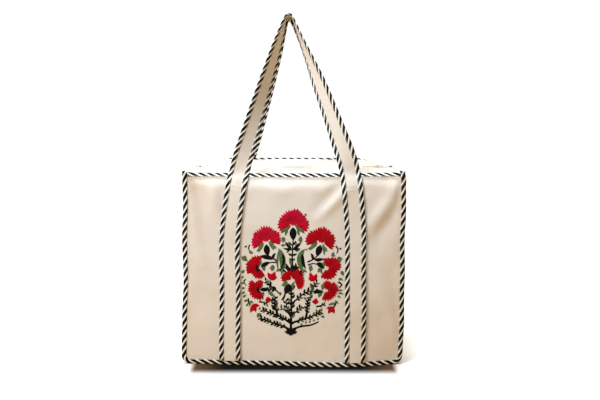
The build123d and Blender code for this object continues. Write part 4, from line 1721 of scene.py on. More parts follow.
@dataclass
class Embroidery:
    """The traditional flowering plant, worked in raised satin stitch on the front panel."""

    form: SoftForm
    finishes: Finishes
    petal_height: float = 1.2
    leaf_height: float = 0.8
    stem_height: float = 0.7
    stretch_from: float = 60.0
    drafts: dict[Thread, Draft] = field(default_factory=lambda: {thread: Draft() for thread in Thread})

    def put(self, x: float, z: float, lift: float) -> Vector:
        """Gives a point on the stitched surface."""
        return self.form.on_front(x, z + 0.012 * (z - self.stretch_from), lift)

    def add_fan(self, thread: Thread, fan: Fan, lift: float = 1.0, seed: float = 0.0) -> None:
        """Adds one fan of petals with a toothed rim and a groove between its petals.

        Args:
            thread: The thread it is worked in.
            fan: Its shape.
            lift: Share of the full stitch height.
            seed: Varies its teeth.
        """
        columns, rows_count = fan.teeth * 4, 9
        rows, coords = [], []
        for r in range(rows_count + 1):
            share = fan.start + (1.0 - fan.start) * (r / rows_count) ** 0.85
            row, marks = [], []
            for c in range(columns + 1):
                s = 2.0 * c / columns - 1.0
                angle = math.radians(90.0 + fan.facing + fan.half * s)
                into = abs((c % 4) - 2) / 2.0
                tooth = (0.125 + 0.05 * ripple(seed, c // 4, 0.0, 1.3)) * into * share**3
                crown = 1.0 - 0.07 * s * s - tooth + 0.05 * ripple(seed + 3.0, c // 4, 1.0, 1.9) * share
                reach = fan.radius * share * crown
                x = fan.base[0] + reach * math.cos(angle)
                z = fan.base[1] + reach * math.sin(angle)
                puff = 0.35 + 0.65 * math.sin(math.pi * min(1.0, 0.22 + 0.66 * share))
                groove = 1.0 - 0.55 * (into == 1.0) * share
                height = self.petal_height * lift * (1.0 - 0.8 * s**8) * puff * groove
                row.append(self.put(x, z, max(0.1, height)))
                marks.append((reach, math.radians(fan.half * s) * fan.radius * 0.75))
            rows.append(row)
            coords.append(marks)
        self.drafts[thread].grid(rows, coords, flip=True)
        # Painted shade: dark lines laid along the grooves between the petals.
        for number in range(1, fan.teeth):
            if ripple(seed + 8.0, number, 0.0, 1.1) < -0.35:
                continue
            angle = math.radians(90.0 + fan.facing + fan.half * (2.0 * number / fan.teeth - 1.0))
            way = (math.cos(angle), math.sin(angle))
            ends = (0.24 + 0.05 * (number % 2), 0.5, 0.68 + 0.1 * ripple(seed, number, 3.0, 1.3))
            line = [(fan.base[0] + fan.radius * d * way[0], fan.base[1] + fan.radius * d * way[1]) for d in ends]
            self.add_blade(Thread.PAINTED_GROOVE_SHADE, (line[0], line[1], line[2], 1.5), self.petal_height * lift * 1.02, 0.5)

    def add_blade(self, thread: Thread, blade: Blade, lift: float = 0.8, fat: float = 0.45) -> None:
        """Adds one pointed leaf, pod or ovary along a bent spine.

        Args:
            thread: The thread it is worked in.
            blade: Its start, the point that it bends towards, its end and its width.
            lift: Height of its middle above the canvas.
            fat: Where along it is widest, as a share.
        """
        start, bend, end, width = blade
        steps, columns = 8, 4
        rows, coords = [], []
        length = math.hypot(end[0] - start[0], end[1] - start[1])
        power = math.log(0.5) / math.log(fat)
        for step in range(steps + 1):
            t = step / steps
            x = (1 - t) ** 2 * start[0] + 2 * t * (1 - t) * bend[0] + t * t * end[0]
            z = (1 - t) ** 2 * start[1] + 2 * t * (1 - t) * bend[1] + t * t * end[1]
            dx = 2 * (1 - t) * (bend[0] - start[0]) + 2 * t * (end[0] - bend[0])
            dz = 2 * (1 - t) * (bend[1] - start[1]) + 2 * t * (end[1] - bend[1])
            size = max(1e-6, math.hypot(dx, dz))
            half = 0.5 * width * max(0.05, math.sin(math.pi * t**power) ** 0.8)
            row, marks = [], []
            for c in range(columns + 1):
                s = 2.0 * c / columns - 1.0
                height = max(0.08, lift * (1.0 - s * s) * min(1.0, 2.5 * half / max(0.1, 0.5 * width)))
                row.append(self.put(x - dz / size * half * s, z + dx / size * half * s, height))
                marks.append((half * s + 0.4 * t * length, t * length))
            rows.append(row)
            coords.append(marks)
        self.drafts[thread].grid(rows, coords)

    def add_stem(self, stem: Stem) -> None:
        """Adds a stem along a smooth line, with its leaves on both sides.

        Args:
            stem: Its shape.
        """
        line = smooth_line(stem.points, 8)
        rows, coords = [], []
        length, next_leaf, turn = 0.0, stem.gap * 1.4, 0
        for index, (x, z) in enumerate(line):
            before, after = line[max(0, index - 1)], line[min(len(line) - 1, index + 1)]
            dx, dz = after[0] - before[0], after[1] - before[1]
            size = max(1e-6, math.hypot(dx, dz))
            dx, dz = dx / size, dz / size
            if index:
                length += math.hypot(x - before[0], z - before[1])
            half = 0.54 * stem.width * (1.0 - 0.42 * index / (len(line) - 1))
            row, marks = [], []
            for c in range(5):
                s = c / 2.0 - 1.0
                height = max(0.08, self.stem_height * (1.0 - s * s))
                row.append(self.put(x - dz * half * s, z + dx * half * s, height))
                marks.append((length, half * s))
            rows.append(row)
            coords.append(marks)
            while stem.leaf and length >= next_leaf:
                next_leaf += stem.gap / 2.0
                turn += 1
                self.add_leaf(stem, (x, z), (dx, dz), -1.0 if turn % 2 else 1.0, turn)
        self.drafts[Thread.BLACK].grid(rows, coords)

    def add_leaf(self, stem: Stem, foot: Spot, ahead: Spot, hand: float, turn: int) -> None:
        """Adds one leaf of a feathered stem.

        Args:
            stem: The stem.
            foot: Where the leaf starts.
            ahead: The stem's direction there.
            hand: The side of the stem, -1 or 1.
            turn: The leaf's number along the stem.
        """
        size = stem.leaf * (1.08 + 0.4 * noise.noise(Vector((foot[0] * 0.3, foot[1] * 0.3, turn))))
        ex = ahead[0] * 0.72 - hand * ahead[1] * 0.7
        ez = ahead[1] * 0.72 + hand * ahead[0] * 0.7
        tip = (foot[0] + ex * size, foot[1] + ez * size)
        bend = (foot[0] + (ex - 0.3 * ahead[0]) * size * 0.6, foot[1] + (ez - 0.3 * ahead[1]) * size * 0.6)
        thread = Thread.GREEN if stem.green or turn % 7 == 3 else Thread.BLACK
        self.add_blade(thread, (foot, bend, tip, size * 0.5), self.leaf_height, 0.5)


@dataclass
class Plant(Embroidery):
    """The whole motif: stems, leaves, calyxes, buds and carnations."""

    crimson_fans: tuple[Fan, ...] = (
        Fan((-1.0, 259.0), 80.0, 39.0, 27.5, 6, 0.2),
        Fan((2.0, 259.0), -82.0, 38.0, 28.5, 6, 0.2),
        Fan((0.5, 256.5), -4.0, 55.0, 31.5, 11, 0.1),
        Fan((-50.5, 230.0), 88.0, 38.0, 27.0, 6, 0.2),
        Fan((-47.0, 230.0), -71.0, 36.0, 27.5, 6, 0.2),
        Fan((-48.9, 227.5), 8.0, 54.0, 30.5, 11, 0.1),
    )
    scarlet_fans: tuple[Fan, ...] = (
        Fan((48.0, 229.0), 70.0, 36.0, 27.0, 6, 0.2),
        Fan((52.0, 229.0), -92.0, 38.0, 26.5, 6, 0.2),
        Fan((50.0, 225.5), -12.0, 54.0, 31.0, 11, 0.1),
        Fan((-60.5, 181.5), 150.0, 64.0, 21.0, 8, 0.2),
        Fan((-62.0, 180.0), 52.0, 66.0, 25.5, 10, 0.14),
        Fan((-60.5, 142.5), 142.0, 60.0, 22.5, 8, 0.2),
        Fan((-61.0, 141.0), 68.0, 32.0, 25.0, 6, 0.16),
        Fan((-60.0, 140.5), 12.0, 36.0, 19.0, 5, 0.2),
        Fan((60.5, 181.5), -150.0, 64.0, 22.5, 8, 0.18),
        Fan((62.0, 180.0), -60.0, 40.0, 26.5, 7, 0.14),
        Fan((62.0, 180.0), -6.0, 30.0, 21.5, 5, 0.2),
        Fan((60.0, 141.5), -146.0, 60.0, 21.5, 8, 0.18),
        Fan((60.5, 139.5), -66.0, 30.0, 24.0, 6, 0.14),
        Fan((60.0, 139.5), -12.0, 34.0, 19.6, 5, 0.2),
        Fan((-2.5, 160.5), 60.0, 44.0, 20.5, 6, 0.1),
        Fan((2.0, 160.0), -128.0, 30.0, 22.0, 5, 0.1),
        Fan((1.0, 159.5), -38.0, 72.0, 22.5, 11, 0.1),
    )
    # Painted shade: black fans in the hollows of the middle and lower left flowers.
    painted_shade_fans: tuple[Fan, ...] = (
        Fan((-61.0, 181.5), 108.0, 84.0, 10.5, 16, 0.2),
        Fan((-60.0, 141.0), 92.0, 80.0, 9.5, 16, 0.2),
    )
    buds: tuple[tuple[Spot, Spot, float], ...] = (
        ((-38.5, 158.0), (-46.0, 173.0), 8.0), ((-38.0, 158.0), (-33.0, 175.0), 8.0),
        ((-38.5, 158.5), (-29.5, 166.0), 6.0), ((-38.8, 158.0), (-39.0, 171.0), 9.0),
        ((36.5, 157.0), (30.5, 174.0), 8.0), ((36.8, 157.0), (43.0, 171.0), 8.0),
        ((36.5, 157.0), (28.0, 164.0), 5.5), ((36.8, 157.0), (36.8, 168.0), 9.0),
        ((-51.0, 121.0), (-40.5, 124.0), 10.0), ((-46.0, 116.5), (-46.0, 128.5), 9.5),
        ((34.0, 120.0), (47.0, 120.0), 8.5), ((40.0, 114.5), (42.0, 127.0), 8.0),
        ((-73.0, 115.0), (-79.0, 98.5), 7.0), ((-73.0, 115.0), (-69.0, 99.5), 7.5),
        ((-75.0, 113.0), (-62.0, 111.0), 7.0), ((-73.5, 115.0), (-74.0, 101.5), 8.0),
        ((71.0, 112.0), (64.0, 98.0), 7.0), ((71.0, 112.0), (75.0, 98.0), 7.0),
        ((73.0, 109.0), (60.5, 108.0), 6.0), ((70.5, 112.0), (70.0, 100.0), 8.5),
    )
    stems: tuple[Stem, ...] = (
        Stem(((-4.0, 64.0), (-3.8, 108.0), (-3.2, 150.0)), 4.4, 8.0, 9.0),
        Stem(((-0.8, 178.0), (-1.2, 206.0), (0.4, 233.0)), 3.2, 0.0),
        Stem(((-6.0, 68.0), (-22.0, 75.5), (-43.0, 82.0), (-61.0, 89.0)), 4.0, 7.0, 6.4),
        Stem(((-4.0, 79.0), (-20.0, 90.0), (-38.0, 97.0), (-57.0, 104.0)), 4.0, 7.0, 6.4),
        Stem(((-27.0, 92.0), (-31.5, 104.0), (-34.0, 116.0), (-32.5, 129.0)), 4.0, 7.0, 6.0),
        Stem(((-4.0, 90.0), (-11.0, 104.0), (-13.5, 122.0)), 2.8, 7.0, 7.0),
        Stem(((-8.0, 97.0), (-16.0, 103.0), (-24.0, 109.0)), 2.0, 6.0, 7.0, True),
        Stem(((-63.0, 119.0), (-55.0, 117.5), (-47.0, 114.0)), 3.4, 6.0, 6.0),
        Stem(((-20.0, 122.0), (-16.0, 130.0), (-14.0, 138.0)), 4.0, 0.0),
        Stem(((-25.0, 134.0), (-33.0, 140.5), (-45.0, 141.5)), 2.6, 6.0, 6.0),
        Stem(((-35.0, 142.0), (-41.0, 149.0), (-50.0, 157.0)), 3.0, 6.5, 6.0),
        Stem(((-40.0, 148.0), (-42.0, 153.0), (-42.0, 159.0)), 2.4, 0.0),
        Stem(((-3.0, 116.0), (8.0, 125.0), (19.0, 134.0), (29.0, 138.5), (41.0, 139.0)), 3.0, 7.0, 7.4),
        Stem(((-3.0, 94.0), (6.0, 102.0), (14.0, 109.0)), 2.6, 7.0, 6.6),
        Stem(((22.5, 89.0), (25.0, 103.0), (26.0, 117.0), (30.0, 129.0)), 4.0, 7.0, 6.0),
        Stem(((-3.0, 80.0), (13.0, 86.0), (31.0, 92.0), (50.0, 101.0)), 4.0, 6.5, 6.6),
        Stem(((-2.0, 68.0), (14.0, 74.0), (32.0, 77.0), (46.0, 83.0)), 4.0, 0.0),
        Stem(((42.0, 111.0), (50.0, 112.5), (58.0, 116.0)), 3.4, 5.0, 5.0),
        Stem(((33.0, 140.5), (38.0, 148.0), (43.5, 155.0)), 3.0, 6.5, 6.0),
        Stem(((-28.0, 192.5), (-36.0, 198.5), (-46.0, 204.0)), 3.2, 0.0),
        Stem(((-29.0, 190.5), (-38.0, 191.5), (-46.0, 189.0)), 2.6, 0.0),
        Stem(((26.0, 192.0), (36.0, 197.0), (44.0, 204.0)), 3.0, 0.0),
        Stem(((27.0, 187.0), (37.0, 189.5), (46.0, 187.0)), 2.6, 0.0),
        Stem(((-79.0, 223.0), (-81.0, 217.0), (-79.0, 211.0)), 2.4, 0.0),
        Stem(((78.0, 221.0), (82.0, 215.0), (80.0, 208.0)), 3.0, 0.0),
        Stem(((-87.0, 160.5), (-90.5, 155.0), (-86.0, 148.0)), 2.4, 0.0),
        Stem(((82.0, 156.0), (88.5, 151.0), (84.0, 145.0)), 3.4, 0.0),
        Stem(((-83.0, 125.0), (-82.0, 118.0), (-80.0, 112.0)), 3.0, 4.0, 5.0),
        Stem(((79.0, 119.0), (75.5, 112.0), (73.0, 107.0)), 3.6, 0.0),
    )
    black_blades: tuple[Blade, ...] = (
        ((0.3, 255.0), (0.0, 243.0), (0.6, 231.0), 11.0),
        ((-48.5, 224.0), (-49.0, 213.0), (-45.5, 203.0), 10.0),
        ((50.0, 223.0), (46.5, 213.0), (43.0, 202.0), 10.0),
        ((-5.0, 151.0), (-11.0, 143.0), (-14.5, 133.0), 11.0),
        ((-61.0, 141.0), (-52.0, 142.0), (-43.0, 141.0), 6.5),
        ((38.0, 139.0), (46.0, 138.5), (56.0, 138.0), 6.5),
        ((-59.0, 182.5), (-52.0, 188.0), (-42.0, 192.0), 7.0),
        ((-60.0, 202.0), (-48.0, 202.5), (-37.0, 196.0), 7.0),
        ((-37.0, 197.0), (-37.5, 204.0), (-31.5, 208.5), 4.5),
        ((42.0, 189.5), (50.0, 189.0), (57.0, 180.0), 7.5),
        ((38.0, 197.0), (46.0, 195.0), (57.0, 198.5), 5.5),
        ((35.0, 196.0), (37.0, 203.0), (31.5, 208.0), 4.5),
        ((-21.0, 209.0), (-12.5, 194.0), (-24.0, 174.0), 6.0),
        ((17.0, 209.0), (14.0, 195.0), (23.5, 179.0), 6.5),
        ((-2.0, 214.0), (-9.0, 222.0), (-14.5, 229.0), 5.0), ((0.0, 214.0), (8.0, 221.0), (14.5, 228.0), 5.0),
        ((-2.0, 216.0), (-9.0, 214.0), (-18.0, 217.0), 4.0), ((0.0, 216.0), (6.0, 214.0), (13.0, 217.0), 4.0),
        ((-2.0, 215.0), (-7.0, 216.0), (-11.0, 210.0), 3.5), ((0.0, 215.0), (5.0, 216.0), (9.0, 210.0), 3.5),
        ((-1.0, 204.0), (-5.0, 205.0), (-9.0, 207.5), 3.6), ((-1.0, 204.0), (3.0, 205.0), (7.0, 207.5), 3.6),
        ((-1.0, 222.0), (-5.0, 224.0), (-7.0, 229.0), 3.0), ((-0.5, 223.0), (4.0, 226.0), (5.0, 231.0), 3.0),
        ((-1.0, 195.0), (-5.0, 196.0), (-6.5, 200.0), 2.6), ((-1.0, 195.0), (2.0, 196.0), (4.0, 199.0), 2.6),
        ((-1.0, 173.0), (-1.0, 181.0), (-1.0, 190.0), 7.0), ((-4.0, 176.0), (-10.0, 178.0), (-12.5, 190.0), 6.0),
        ((2.0, 176.0), (6.0, 179.0), (5.0, 191.0), 6.0), ((-6.0, 176.0), (-10.0, 181.0), (-16.0, 183.0), 4.0),
        ((-19.0, 178.0), (-16.0, 176.0), (-12.0, 173.0), 3.6), ((3.0, 177.0), (9.0, 182.0), (11.0, 184.0), 3.6),
        ((17.0, 178.0), (13.0, 173.0), (8.0, 169.0), 5.0), ((10.0, 170.0), (15.0, 172.0), (17.0, 167.0), 5.0),
        ((-40.0, 141.0), (-43.0, 146.0), (-43.5, 152.0), 3.0), ((-32.0, 141.0), (-33.0, 145.0), (-37.0, 148.0), 3.0),
        ((38.0, 148.0), (34.0, 150.0), (31.0, 154.0), 3.0), ((28.0, 139.0), (28.0, 143.0), (29.0, 147.0), 3.6),
        ((-89.0, 219.0), (-86.0, 219.0), (-84.0, 222.0), 2.4), ((84.0, 217.0), (87.0, 217.0), (88.0, 214.0), 3.0),
        ((-42.0, 122.0), (-38.0, 122.5), (-34.0, 121.0), 3.6), ((-52.0, 86.0), (-58.0, 85.0), (-61.0, 85.5), 3.5),
    )
    green_blades: tuple[Blade, ...] = (
        ((-4.0, 258.0), (-13.0, 256.0), (-22.0, 244.0), 10.0), ((4.0, 258.0), (12.0, 256.0), (21.0, 243.5), 10.0),
        ((-9.0, 252.0), (-13.0, 246.0), (-14.0, 239.5), 5.0), ((8.0, 252.0), (10.0, 246.0), (11.0, 239.0), 5.0),
        ((-54.0, 227.0), (-60.0, 222.0), (-63.0, 209.0), 8.0), ((-60.0, 216.0), (-64.0, 214.0), (-67.0, 211.0), 4.0),
        ((-44.5, 229.0), (-38.0, 226.0), (-36.0, 213.0), 8.5), ((-40.0, 222.0), (-34.0, 219.0), (-30.5, 217.0), 6.0),
        ((44.0, 227.0), (38.0, 226.0), (30.0, 213.0), 8.5), ((34.0, 219.0), (31.0, 217.0), (26.5, 216.0), 5.0),
        ((54.0, 225.0), (56.5, 216.0), (56.5, 204.0), 5.5), ((56.0, 220.0), (60.0, 216.0), (61.5, 210.0), 4.5),
        ((-26.5, 217.0), (-14.0, 196.0), (-21.5, 168.0), 12.0), ((-27.0, 212.0), (-30.0, 192.0), (-27.0, 176.0), 4.0),
        ((21.5, 216.0), (3.5, 199.0), (21.0, 169.0), 11.0), ((24.0, 214.0), (21.0, 214.0), (27.0, 216.0), 3.0),
        ((-22.0, 180.0), (-27.0, 177.0), (-31.0, 175.0), 5.0), ((17.0, 178.0), (22.0, 177.0), (25.0, 173.0), 5.0),
        ((-19.0, 238.0), (-16.0, 233.0), (-19.0, 227.0), 7.0), ((-22.0, 233.0), (-18.0, 233.0), (-13.0, 232.0), 4.5),
        ((15.0, 239.0), (12.0, 233.0), (15.0, 226.0), 7.0), ((9.0, 232.0), (13.0, 232.0), (18.0, 232.0), 4.5),
        ((-22.0, 223.0), (-18.0, 221.5), (-13.0, 224.0), 5.0), ((3.0, 223.0), (5.0, 226.0), (5.5, 230.0), 5.0),
        ((-9.0, 219.0), (-7.0, 224.0), (-8.0, 229.0), 5.0), ((7.0, 212.0), (10.0, 214.0), (13.0, 216.0), 3.6),
        ((-8.0, 213.0), (-9.0, 211.0), (-12.0, 209.0), 4.0),
        ((-3.0, 185.0), (-3.5, 192.0), (-4.0, 199.0), 6.5), ((-6.0, 190.0), (-5.0, 194.0), (-7.0, 198.0), 3.0),
        ((-38.0, 187.0), (-36.0, 182.0), (-39.0, 175.0), 8.0), ((-43.0, 181.0), (-38.0, 181.0), (-33.0, 180.0), 4.5),
        ((31.0, 187.0), (33.0, 182.0), (31.0, 174.0), 7.0), ((28.0, 182.0), (32.0, 181.0), (37.0, 179.0), 4.5),
        ((-63.0, 198.0), (-58.0, 192.0), (-60.0, 186.0), 6.0), ((-57.0, 184.0), (-52.0, 182.0), (-53.0, 175.0), 7.5),
        ((56.0, 194.0), (57.0, 188.0), (53.0, 182.0), 7.0), ((60.0, 190.0), (55.0, 188.0), (51.0, 190.0), 4.0),
        ((54.0, 180.0), (48.0, 180.0), (45.0, 173.0), 8.0), ((52.0, 178.0), (50.0, 174.0), (54.0, 170.0), 4.0),
        ((-62.0, 154.0), (-56.0, 152.0), (-57.0, 145.0), 5.5), ((-57.0, 137.0), (-54.0, 134.0), (-55.0, 128.0), 5.5),
        ((52.0, 152.0), (57.0, 148.0), (52.0, 141.0), 7.0), ((54.0, 136.0), (48.0, 136.0), (47.0, 127.0), 7.5),
        ((-10.0, 156.0), (-15.0, 155.0), (-15.0, 145.0), 10.0), ((-12.0, 152.0), (-17.0, 149.0), (-22.0, 150.0), 5.0),
        ((-2.0, 152.0), (2.0, 147.0), (-2.0, 139.0), 7.0),
        ((-94.0, 201.0), (-88.0, 198.0), (-83.0, 193.0), 8.0), ((-88.0, 204.0), (-88.0, 199.0), (-85.0, 195.0), 6.0),
        ((-80.0, 212.0), (-77.0, 209.0), (-73.0, 207.0), 6.0), ((-94.5, 175.0), (-92.0, 172.0), (-89.0, 178.0), 6.5),
        ((-94.5, 163.0), (-92.0, 162.0), (-92.0, 167.0), 4.0), ((-95.5, 152.0), (-93.0, 152.0), (-90.0, 156.0), 4.0),
        ((-95.0, 143.0), (-92.0, 143.0), (-88.0, 145.0), 4.5), ((-95.0, 134.0), (-92.0, 134.0), (-89.0, 138.0), 4.5),
        ((-93.0, 127.0), (-91.0, 128.0), (-86.0, 132.0), 4.5), ((-91.0, 119.0), (-87.0, 121.0), (-83.0, 121.0), 5.0),
        ((-87.0, 110.0), (-85.0, 113.0), (-83.0, 116.0), 4.0), ((-81.0, 119.0), (-77.0, 119.0), (-73.0, 116.0), 4.5),
        ((-60.0, 108.0), (-62.0, 106.0), (-64.0, 104.0), 4.0), ((-60.0, 93.0), (-65.0, 95.0), (-66.0, 89.0), 7.0),
        ((-67.0, 97.0), (-63.0, 94.0), (-58.0, 97.0), 5.0), ((-57.0, 117.0), (-52.0, 119.0), (-48.0, 115.0), 3.6),
        ((-40.0, 138.0), (-42.0, 133.0), (-38.0, 129.0), 5.5), ((-46.0, 135.0), (-42.0, 134.0), (-36.0, 134.0), 4.0),
        ((-24.0, 137.0), (-22.0, 134.0), (-25.0, 130.0), 4.5), ((27.0, 136.0), (31.0, 133.0), (37.0, 131.0), 4.0),
        ((32.0, 151.0), (33.0, 147.0), (35.0, 144.0), 5.0), ((31.0, 135.0), (33.0, 131.0), (33.0, 127.0), 4.0),
        ((19.0, 128.0), (22.0, 126.0), (24.0, 124.0), 4.0), ((11.0, 105.0), (13.0, 109.0), (16.0, 112.0), 5.5),
        ((21.0, 278.0), (23.0, 279.0), (25.0, 276.0), 4.0),
        ((70.0, 207.0), (73.0, 204.0), (74.0, 211.0), 6.0), ((69.0, 203.0), (73.0, 205.0), (78.0, 203.0), 5.0),
        ((80.0, 200.0), (85.0, 199.0), (87.0, 191.0), 7.0), ((83.0, 202.0), (85.0, 198.0), (91.0, 197.0), 5.0),
        ((87.0, 176.0), (90.0, 172.0), (92.0, 167.0), 6.5), ((83.0, 162.0), (87.0, 162.0), (91.0, 158.0), 4.5),
        ((82.0, 161.0), (86.0, 159.0), (89.0, 163.0), 3.6), ((82.0, 139.5), (87.0, 141.0), (91.0, 140.0), 4.0),
        ((82.0, 135.0), (87.0, 136.0), (92.0, 133.0), 4.0), ((80.0, 130.0), (84.0, 130.0), (87.0, 126.0), 4.0),
        ((64.0, 113.5), (72.0, 117.0), (82.0, 118.0), 4.6), ((76.0, 122.0), (80.0, 119.0), (83.0, 116.0), 4.0),
        ((52.0, 108.0), (52.0, 105.0), (49.0, 101.0), 5.0), ((41.0, 106.0), (43.0, 104.0), (44.0, 101.0), 3.6),
        ((57.0, 91.0), (54.0, 94.0), (50.0, 92.0), 5.0), ((13.0, 76.0), (15.0, 78.0), (17.0, 79.5), 3.4),
        ((22.0, 79.5), (23.0, 81.5), (24.0, 84.0), 3.6), ((28.5, 81.0), (30.0, 83.0), (31.0, 86.0), 3.6),
        ((36.5, 83.5), (37.5, 86.0), (38.0, 88.0), 3.6), ((44.0, 86.0), (45.0, 88.5), (45.5, 91.0), 3.8),
    )
    root: Spot = (-4.0, 65.5)
    root_tips: tuple[Spot, ...] = (
        (-16.0, 63.5), (-14.0, 60.5), (-10.5, 58.5), (-7.0, 57.0), (-4.0, 55.5),
        (-0.5, 57.0), (3.0, 59.0), (6.5, 60.5), (8.5, 63.5), (6.0, 68.0), (-13.0, 68.5),
    )

    def build_all(self) -> None:
        """Makes the whole motif, from the stems up to the petals."""
        for stem in self.stems:
            self.add_stem(stem)
        for blade in self.green_blades:
            self.add_blade(Thread.GREEN, blade, self.leaf_height)
        for blade in self.black_blades:
            self.add_blade(Thread.BLACK, (*blade[:3], 1.18 * blade[3]), self.leaf_height + 0.3)
        for tip in self.root_tips:
            middle = ((self.root[0] + tip[0]) / 2.0, (self.root[1] + tip[1]) / 2.0)
            self.add_blade(Thread.BLACK, (self.root, middle, tip, 4.2), self.leaf_height)
        for number, fan in enumerate(self.crimson_fans):
            self.add_fan(Thread.CRIMSON, fan, 0.85 + 0.25 * (number % 3 == 2), number * 1.7)
        for number, fan in enumerate(self.scarlet_fans):
            self.add_fan(Thread.SCARLET, fan, 0.9 + 0.04 * (number % 3), number * 2.3)
        # The painted shade in the flowers' hollows, in black thread.
        for number, fan in enumerate(self.painted_shade_fans):
            self.add_fan(Thread.BLACK, fan, 1.1, number * 0.9)
        for start, end, width in self.buds:
            middle = ((start[0] + end[0]) / 2.0, (start[1] + end[1]) / 2.0)
            self.add_blade(Thread.SCARLET, (start, middle, end, width), self.petal_height, 0.5)
        seat_thread = {
            Thread.CRIMSON: ("embroidered_crimson_petals", self.finishes.crimson, "thread_red", ["embroidered_flowers"]),
            Thread.SCARLET: ("embroidered_scarlet_petals", self.finishes.scarlet, "thread_red", []),
            Thread.PAINTED_GROOVE_SHADE: ("embroidered_garnet_lines", self.finishes.painted_groove_shade, "thread_red", []),
            Thread.GREEN: ("embroidered_green_leaves", self.finishes.green, "thread_green", ["embroidered_leaves"]),
            Thread.BLACK: ("embroidered_dark_stems", self.finishes.black, "thread_dark", ["embroidered_stems"]),
        }
        for thread, (name, finish, slot, stands_for) in seat_thread.items():
            seat(self.drafts[thread].build(name, finish), stands_for)


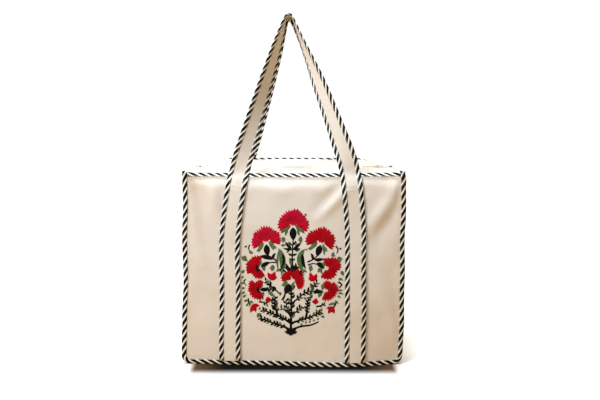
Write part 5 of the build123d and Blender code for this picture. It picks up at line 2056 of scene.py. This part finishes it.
@dataclass
class Studio:
    """The plain floor, the soft light and the camera."""

    sizes: BagSizes
    eye: tuple[float, float, float] = (12.6, -1016.5, 441.9)
    pitch: float = 4.0
    focal_share: float = 520.7 / 600.0
    raise_share: float = 38.0 / 600.0
    bounce: Colour = (0.415, 0.262, 0.108, 1.0)
    room: Colour = (0.235, 0.180, 0.112, 1.0)
    # Where the painted shadow on the floor lies, in metres, with its soft ends and its fade at the front.
    painted_shadow_x: tuple[float, float] = (-0.186, 0.188)
    painted_shadow_y: tuple[float, float] = (-0.130, 0.074)
    painted_shadow_rim: float = 0.008
    painted_shadow_fade: float = 0.034
    overhead: float = 3.4
    key: float = 29.0
    sheen: float = 14.0
    spot_aim: tuple[float, float, float] = (-0.005, -0.08, 0.30)

    def build_camera(self) -> None:
        """Places the camera at the photograph's viewing angle."""
        data = bpy.data.cameras.new("camera")
        data.sensor_width = 36.0
        data.lens = 36.0 * self.focal_share
        data.shift_y = -self.raise_share
        camera = bpy.data.objects.new("camera", data)
        camera.location = Vector(self.eye) * MM
        camera.rotation_euler = (math.radians(90.0 - self.pitch), 0.0, 0.0)
        bpy.context.scene.collection.objects.link(camera)
        bpy.context.scene.camera = camera

    def build_floor(self) -> None:
        """Makes the pale floor, which throws a warm light back at the bag."""
        material, surface = shader("pale_floor")
        w = Wiring(material.node_tree)
        seen = w.tree.nodes.new("ShaderNodeLightPath").outputs["Is Camera Ray"]
        tone = w.noise(w.place(), 3.0)
        pale = w.mix(tone, (0.84, 0.84, 0.84, 1.0), (0.87, 0.87, 0.87, 1.0))
        # Painted shadow: the floor is coloured dark along the bag's base.
        pale = w.mix(self.painted_shadow_mask(w), pale, self.painted_shadow_colour(w))
        w.plug(surface.inputs["Base Color"], w.mix(seen, self.bounce, pale))
        surface.inputs["Roughness"].default_value = 0.95
        surface.inputs["Specular IOR Level"].default_value = 0.0
        size = 30000.0
        draft = Draft()
        draft.grid(
            [[Vector((-size, y, 0.0)), Vector((size, y, 0.0))] for y in (-size, size)],
            [[(0.0, 0.0), (1.0, 0.0)], [(0.0, 1.0), (1.0, 1.0)]],
        )
        draft.build("floor", material)

    def painted_shadow_mask(self, w: Wiring) -> bpy.types.NodeSocket:
        """Masks the strip of floor where a shadow is painted, darkest against the bag's base."""
        x, y, _ = w.split(w.place())
        (left, right), (front, back) = self.painted_shadow_x, self.painted_shadow_y
        beside = w.math("SUBTRACT", w.math("ABSOLUTE", w.math("SUBTRACT", x, 0.5 * (left + right))), 0.5 * (right - left))
        ends = w.fade(beside, -self.painted_shadow_rim, self.painted_shadow_rim, 1.0, 0.0)
        before = w.fade(y, front, front + self.painted_shadow_fade, 0.0, 0.995)
        behind = w.fade(y, back, back + 0.006, 1.0, 0.0)
        return w.math("MULTIPLY", w.math("MULTIPLY", ends, before), behind)

    def painted_shadow_colour(self, w: Wiring) -> bpy.types.NodeSocket:
        """Colours the painted shadow: nearly black in the middle, warm brown at its ends."""
        x, _, _ = w.split(w.place())
        end = w.fade(w.math("ABSOLUTE", x), 0.12, 0.19, 0.0, 1.0)
        return w.mix(end, (0.004, 0.003, 0.002, 1.0), (0.10, 0.055, 0.025, 1.0))

    def add_light(
        self,
        name: str,
        kind: str,
        place: tuple[float, float, float],
        size: float,
        power: float,
        tint: tuple[float, float, float],
    ) -> None:
        """Adds one soft light that faces the bag.

        Args:
            name: The light's name.
            kind: AREA, SUN or SPOT.
            place: Where it stands, in metres.
            size: Its width in metres, or the spread of a sun or spot in degrees.
            power: Its strength.
            tint: Its colour.
        """
        data = bpy.data.lights.new(name, kind)
        data.energy = power
        data.color = tint
        if kind == "SUN":
            data.angle = math.radians(size)
        elif kind == "SPOT":
            data.spot_size = math.radians(size)
            data.spot_blend = 1.0
            data.shadow_soft_size = 0.15
        else:
            data.size = size
        light = bpy.data.objects.new(name, data)
        light.location = place
        aim = Vector(self.spot_aim if kind == "SPOT" else (0.0, 0.0, 0.22)) - light.location
        light.rotation_euler = aim.to_track_quat("-Z", "Y").to_euler()
        bpy.context.scene.collection.objects.link(light)

    def build_light(self) -> None:
        """Lights the bag from overhead and from the left, with a soft white room round it."""
        world = bpy.data.worlds.new("room")
        world.use_nodes = True
        w = Wiring(world.node_tree)
        background = world.node_tree.nodes["Background"]
        seen = w.tree.nodes.new("ShaderNodeLightPath").outputs["Is Camera Ray"]
        w.plug(background.inputs["Color"], w.mix(seen, self.room, (1.1, 1.1, 1.1, 1.0)))
        background.inputs["Strength"].default_value = 1.0
        bpy.context.scene.world = world
        self.add_light("overhead", "SUN", (-0.05, 0.08, 2.0), 16.0, self.overhead, (1.0, 0.99, 0.98))
        self.add_light("key", "AREA", (-1.1, -0.95, 1.45), 0.7, self.key, (0.93, 1.0, 1.10))
        self.add_light("sheen", "SPOT", (0.1, -1.1, 1.0), 30.0, self.sheen, (0.32, 0.68, 1.0))

    def build(self) -> None:
        """Sets the whole scene round the bag."""
        bpy.context.scene.view_settings.view_transform = "Standard"
        self.build_floor()
        self.build_light()
        self.build_camera()


def main() -> None:
    """Builds the bag from the floor up."""
    logging.basicConfig(level=logging.INFO, format="%(message)s")
    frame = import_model()
    sizes = BagSizes.from_frame()
    form = SoftForm(sizes)
    finishes = Finishes()
    panels = Panels(sizes, form, finishes)
    for side in Side:
        panels.build(side)
    boxing = Boxing(sizes, form, finishes)
    boxing.build_all()
    top = TopPanels(sizes, form, finishes, boxing)
    for side in Side:
        top.build(side)
    Bindings(sizes, form, finishes).build_all()
    Straps(sizes, form, finishes).build_all()
    Zip(sizes, finishes).build_all(frame["nodes"])
    Plant(form, finishes).build_all()
    Studio(sizes).build()


if __name__ == "__main__":
    main()
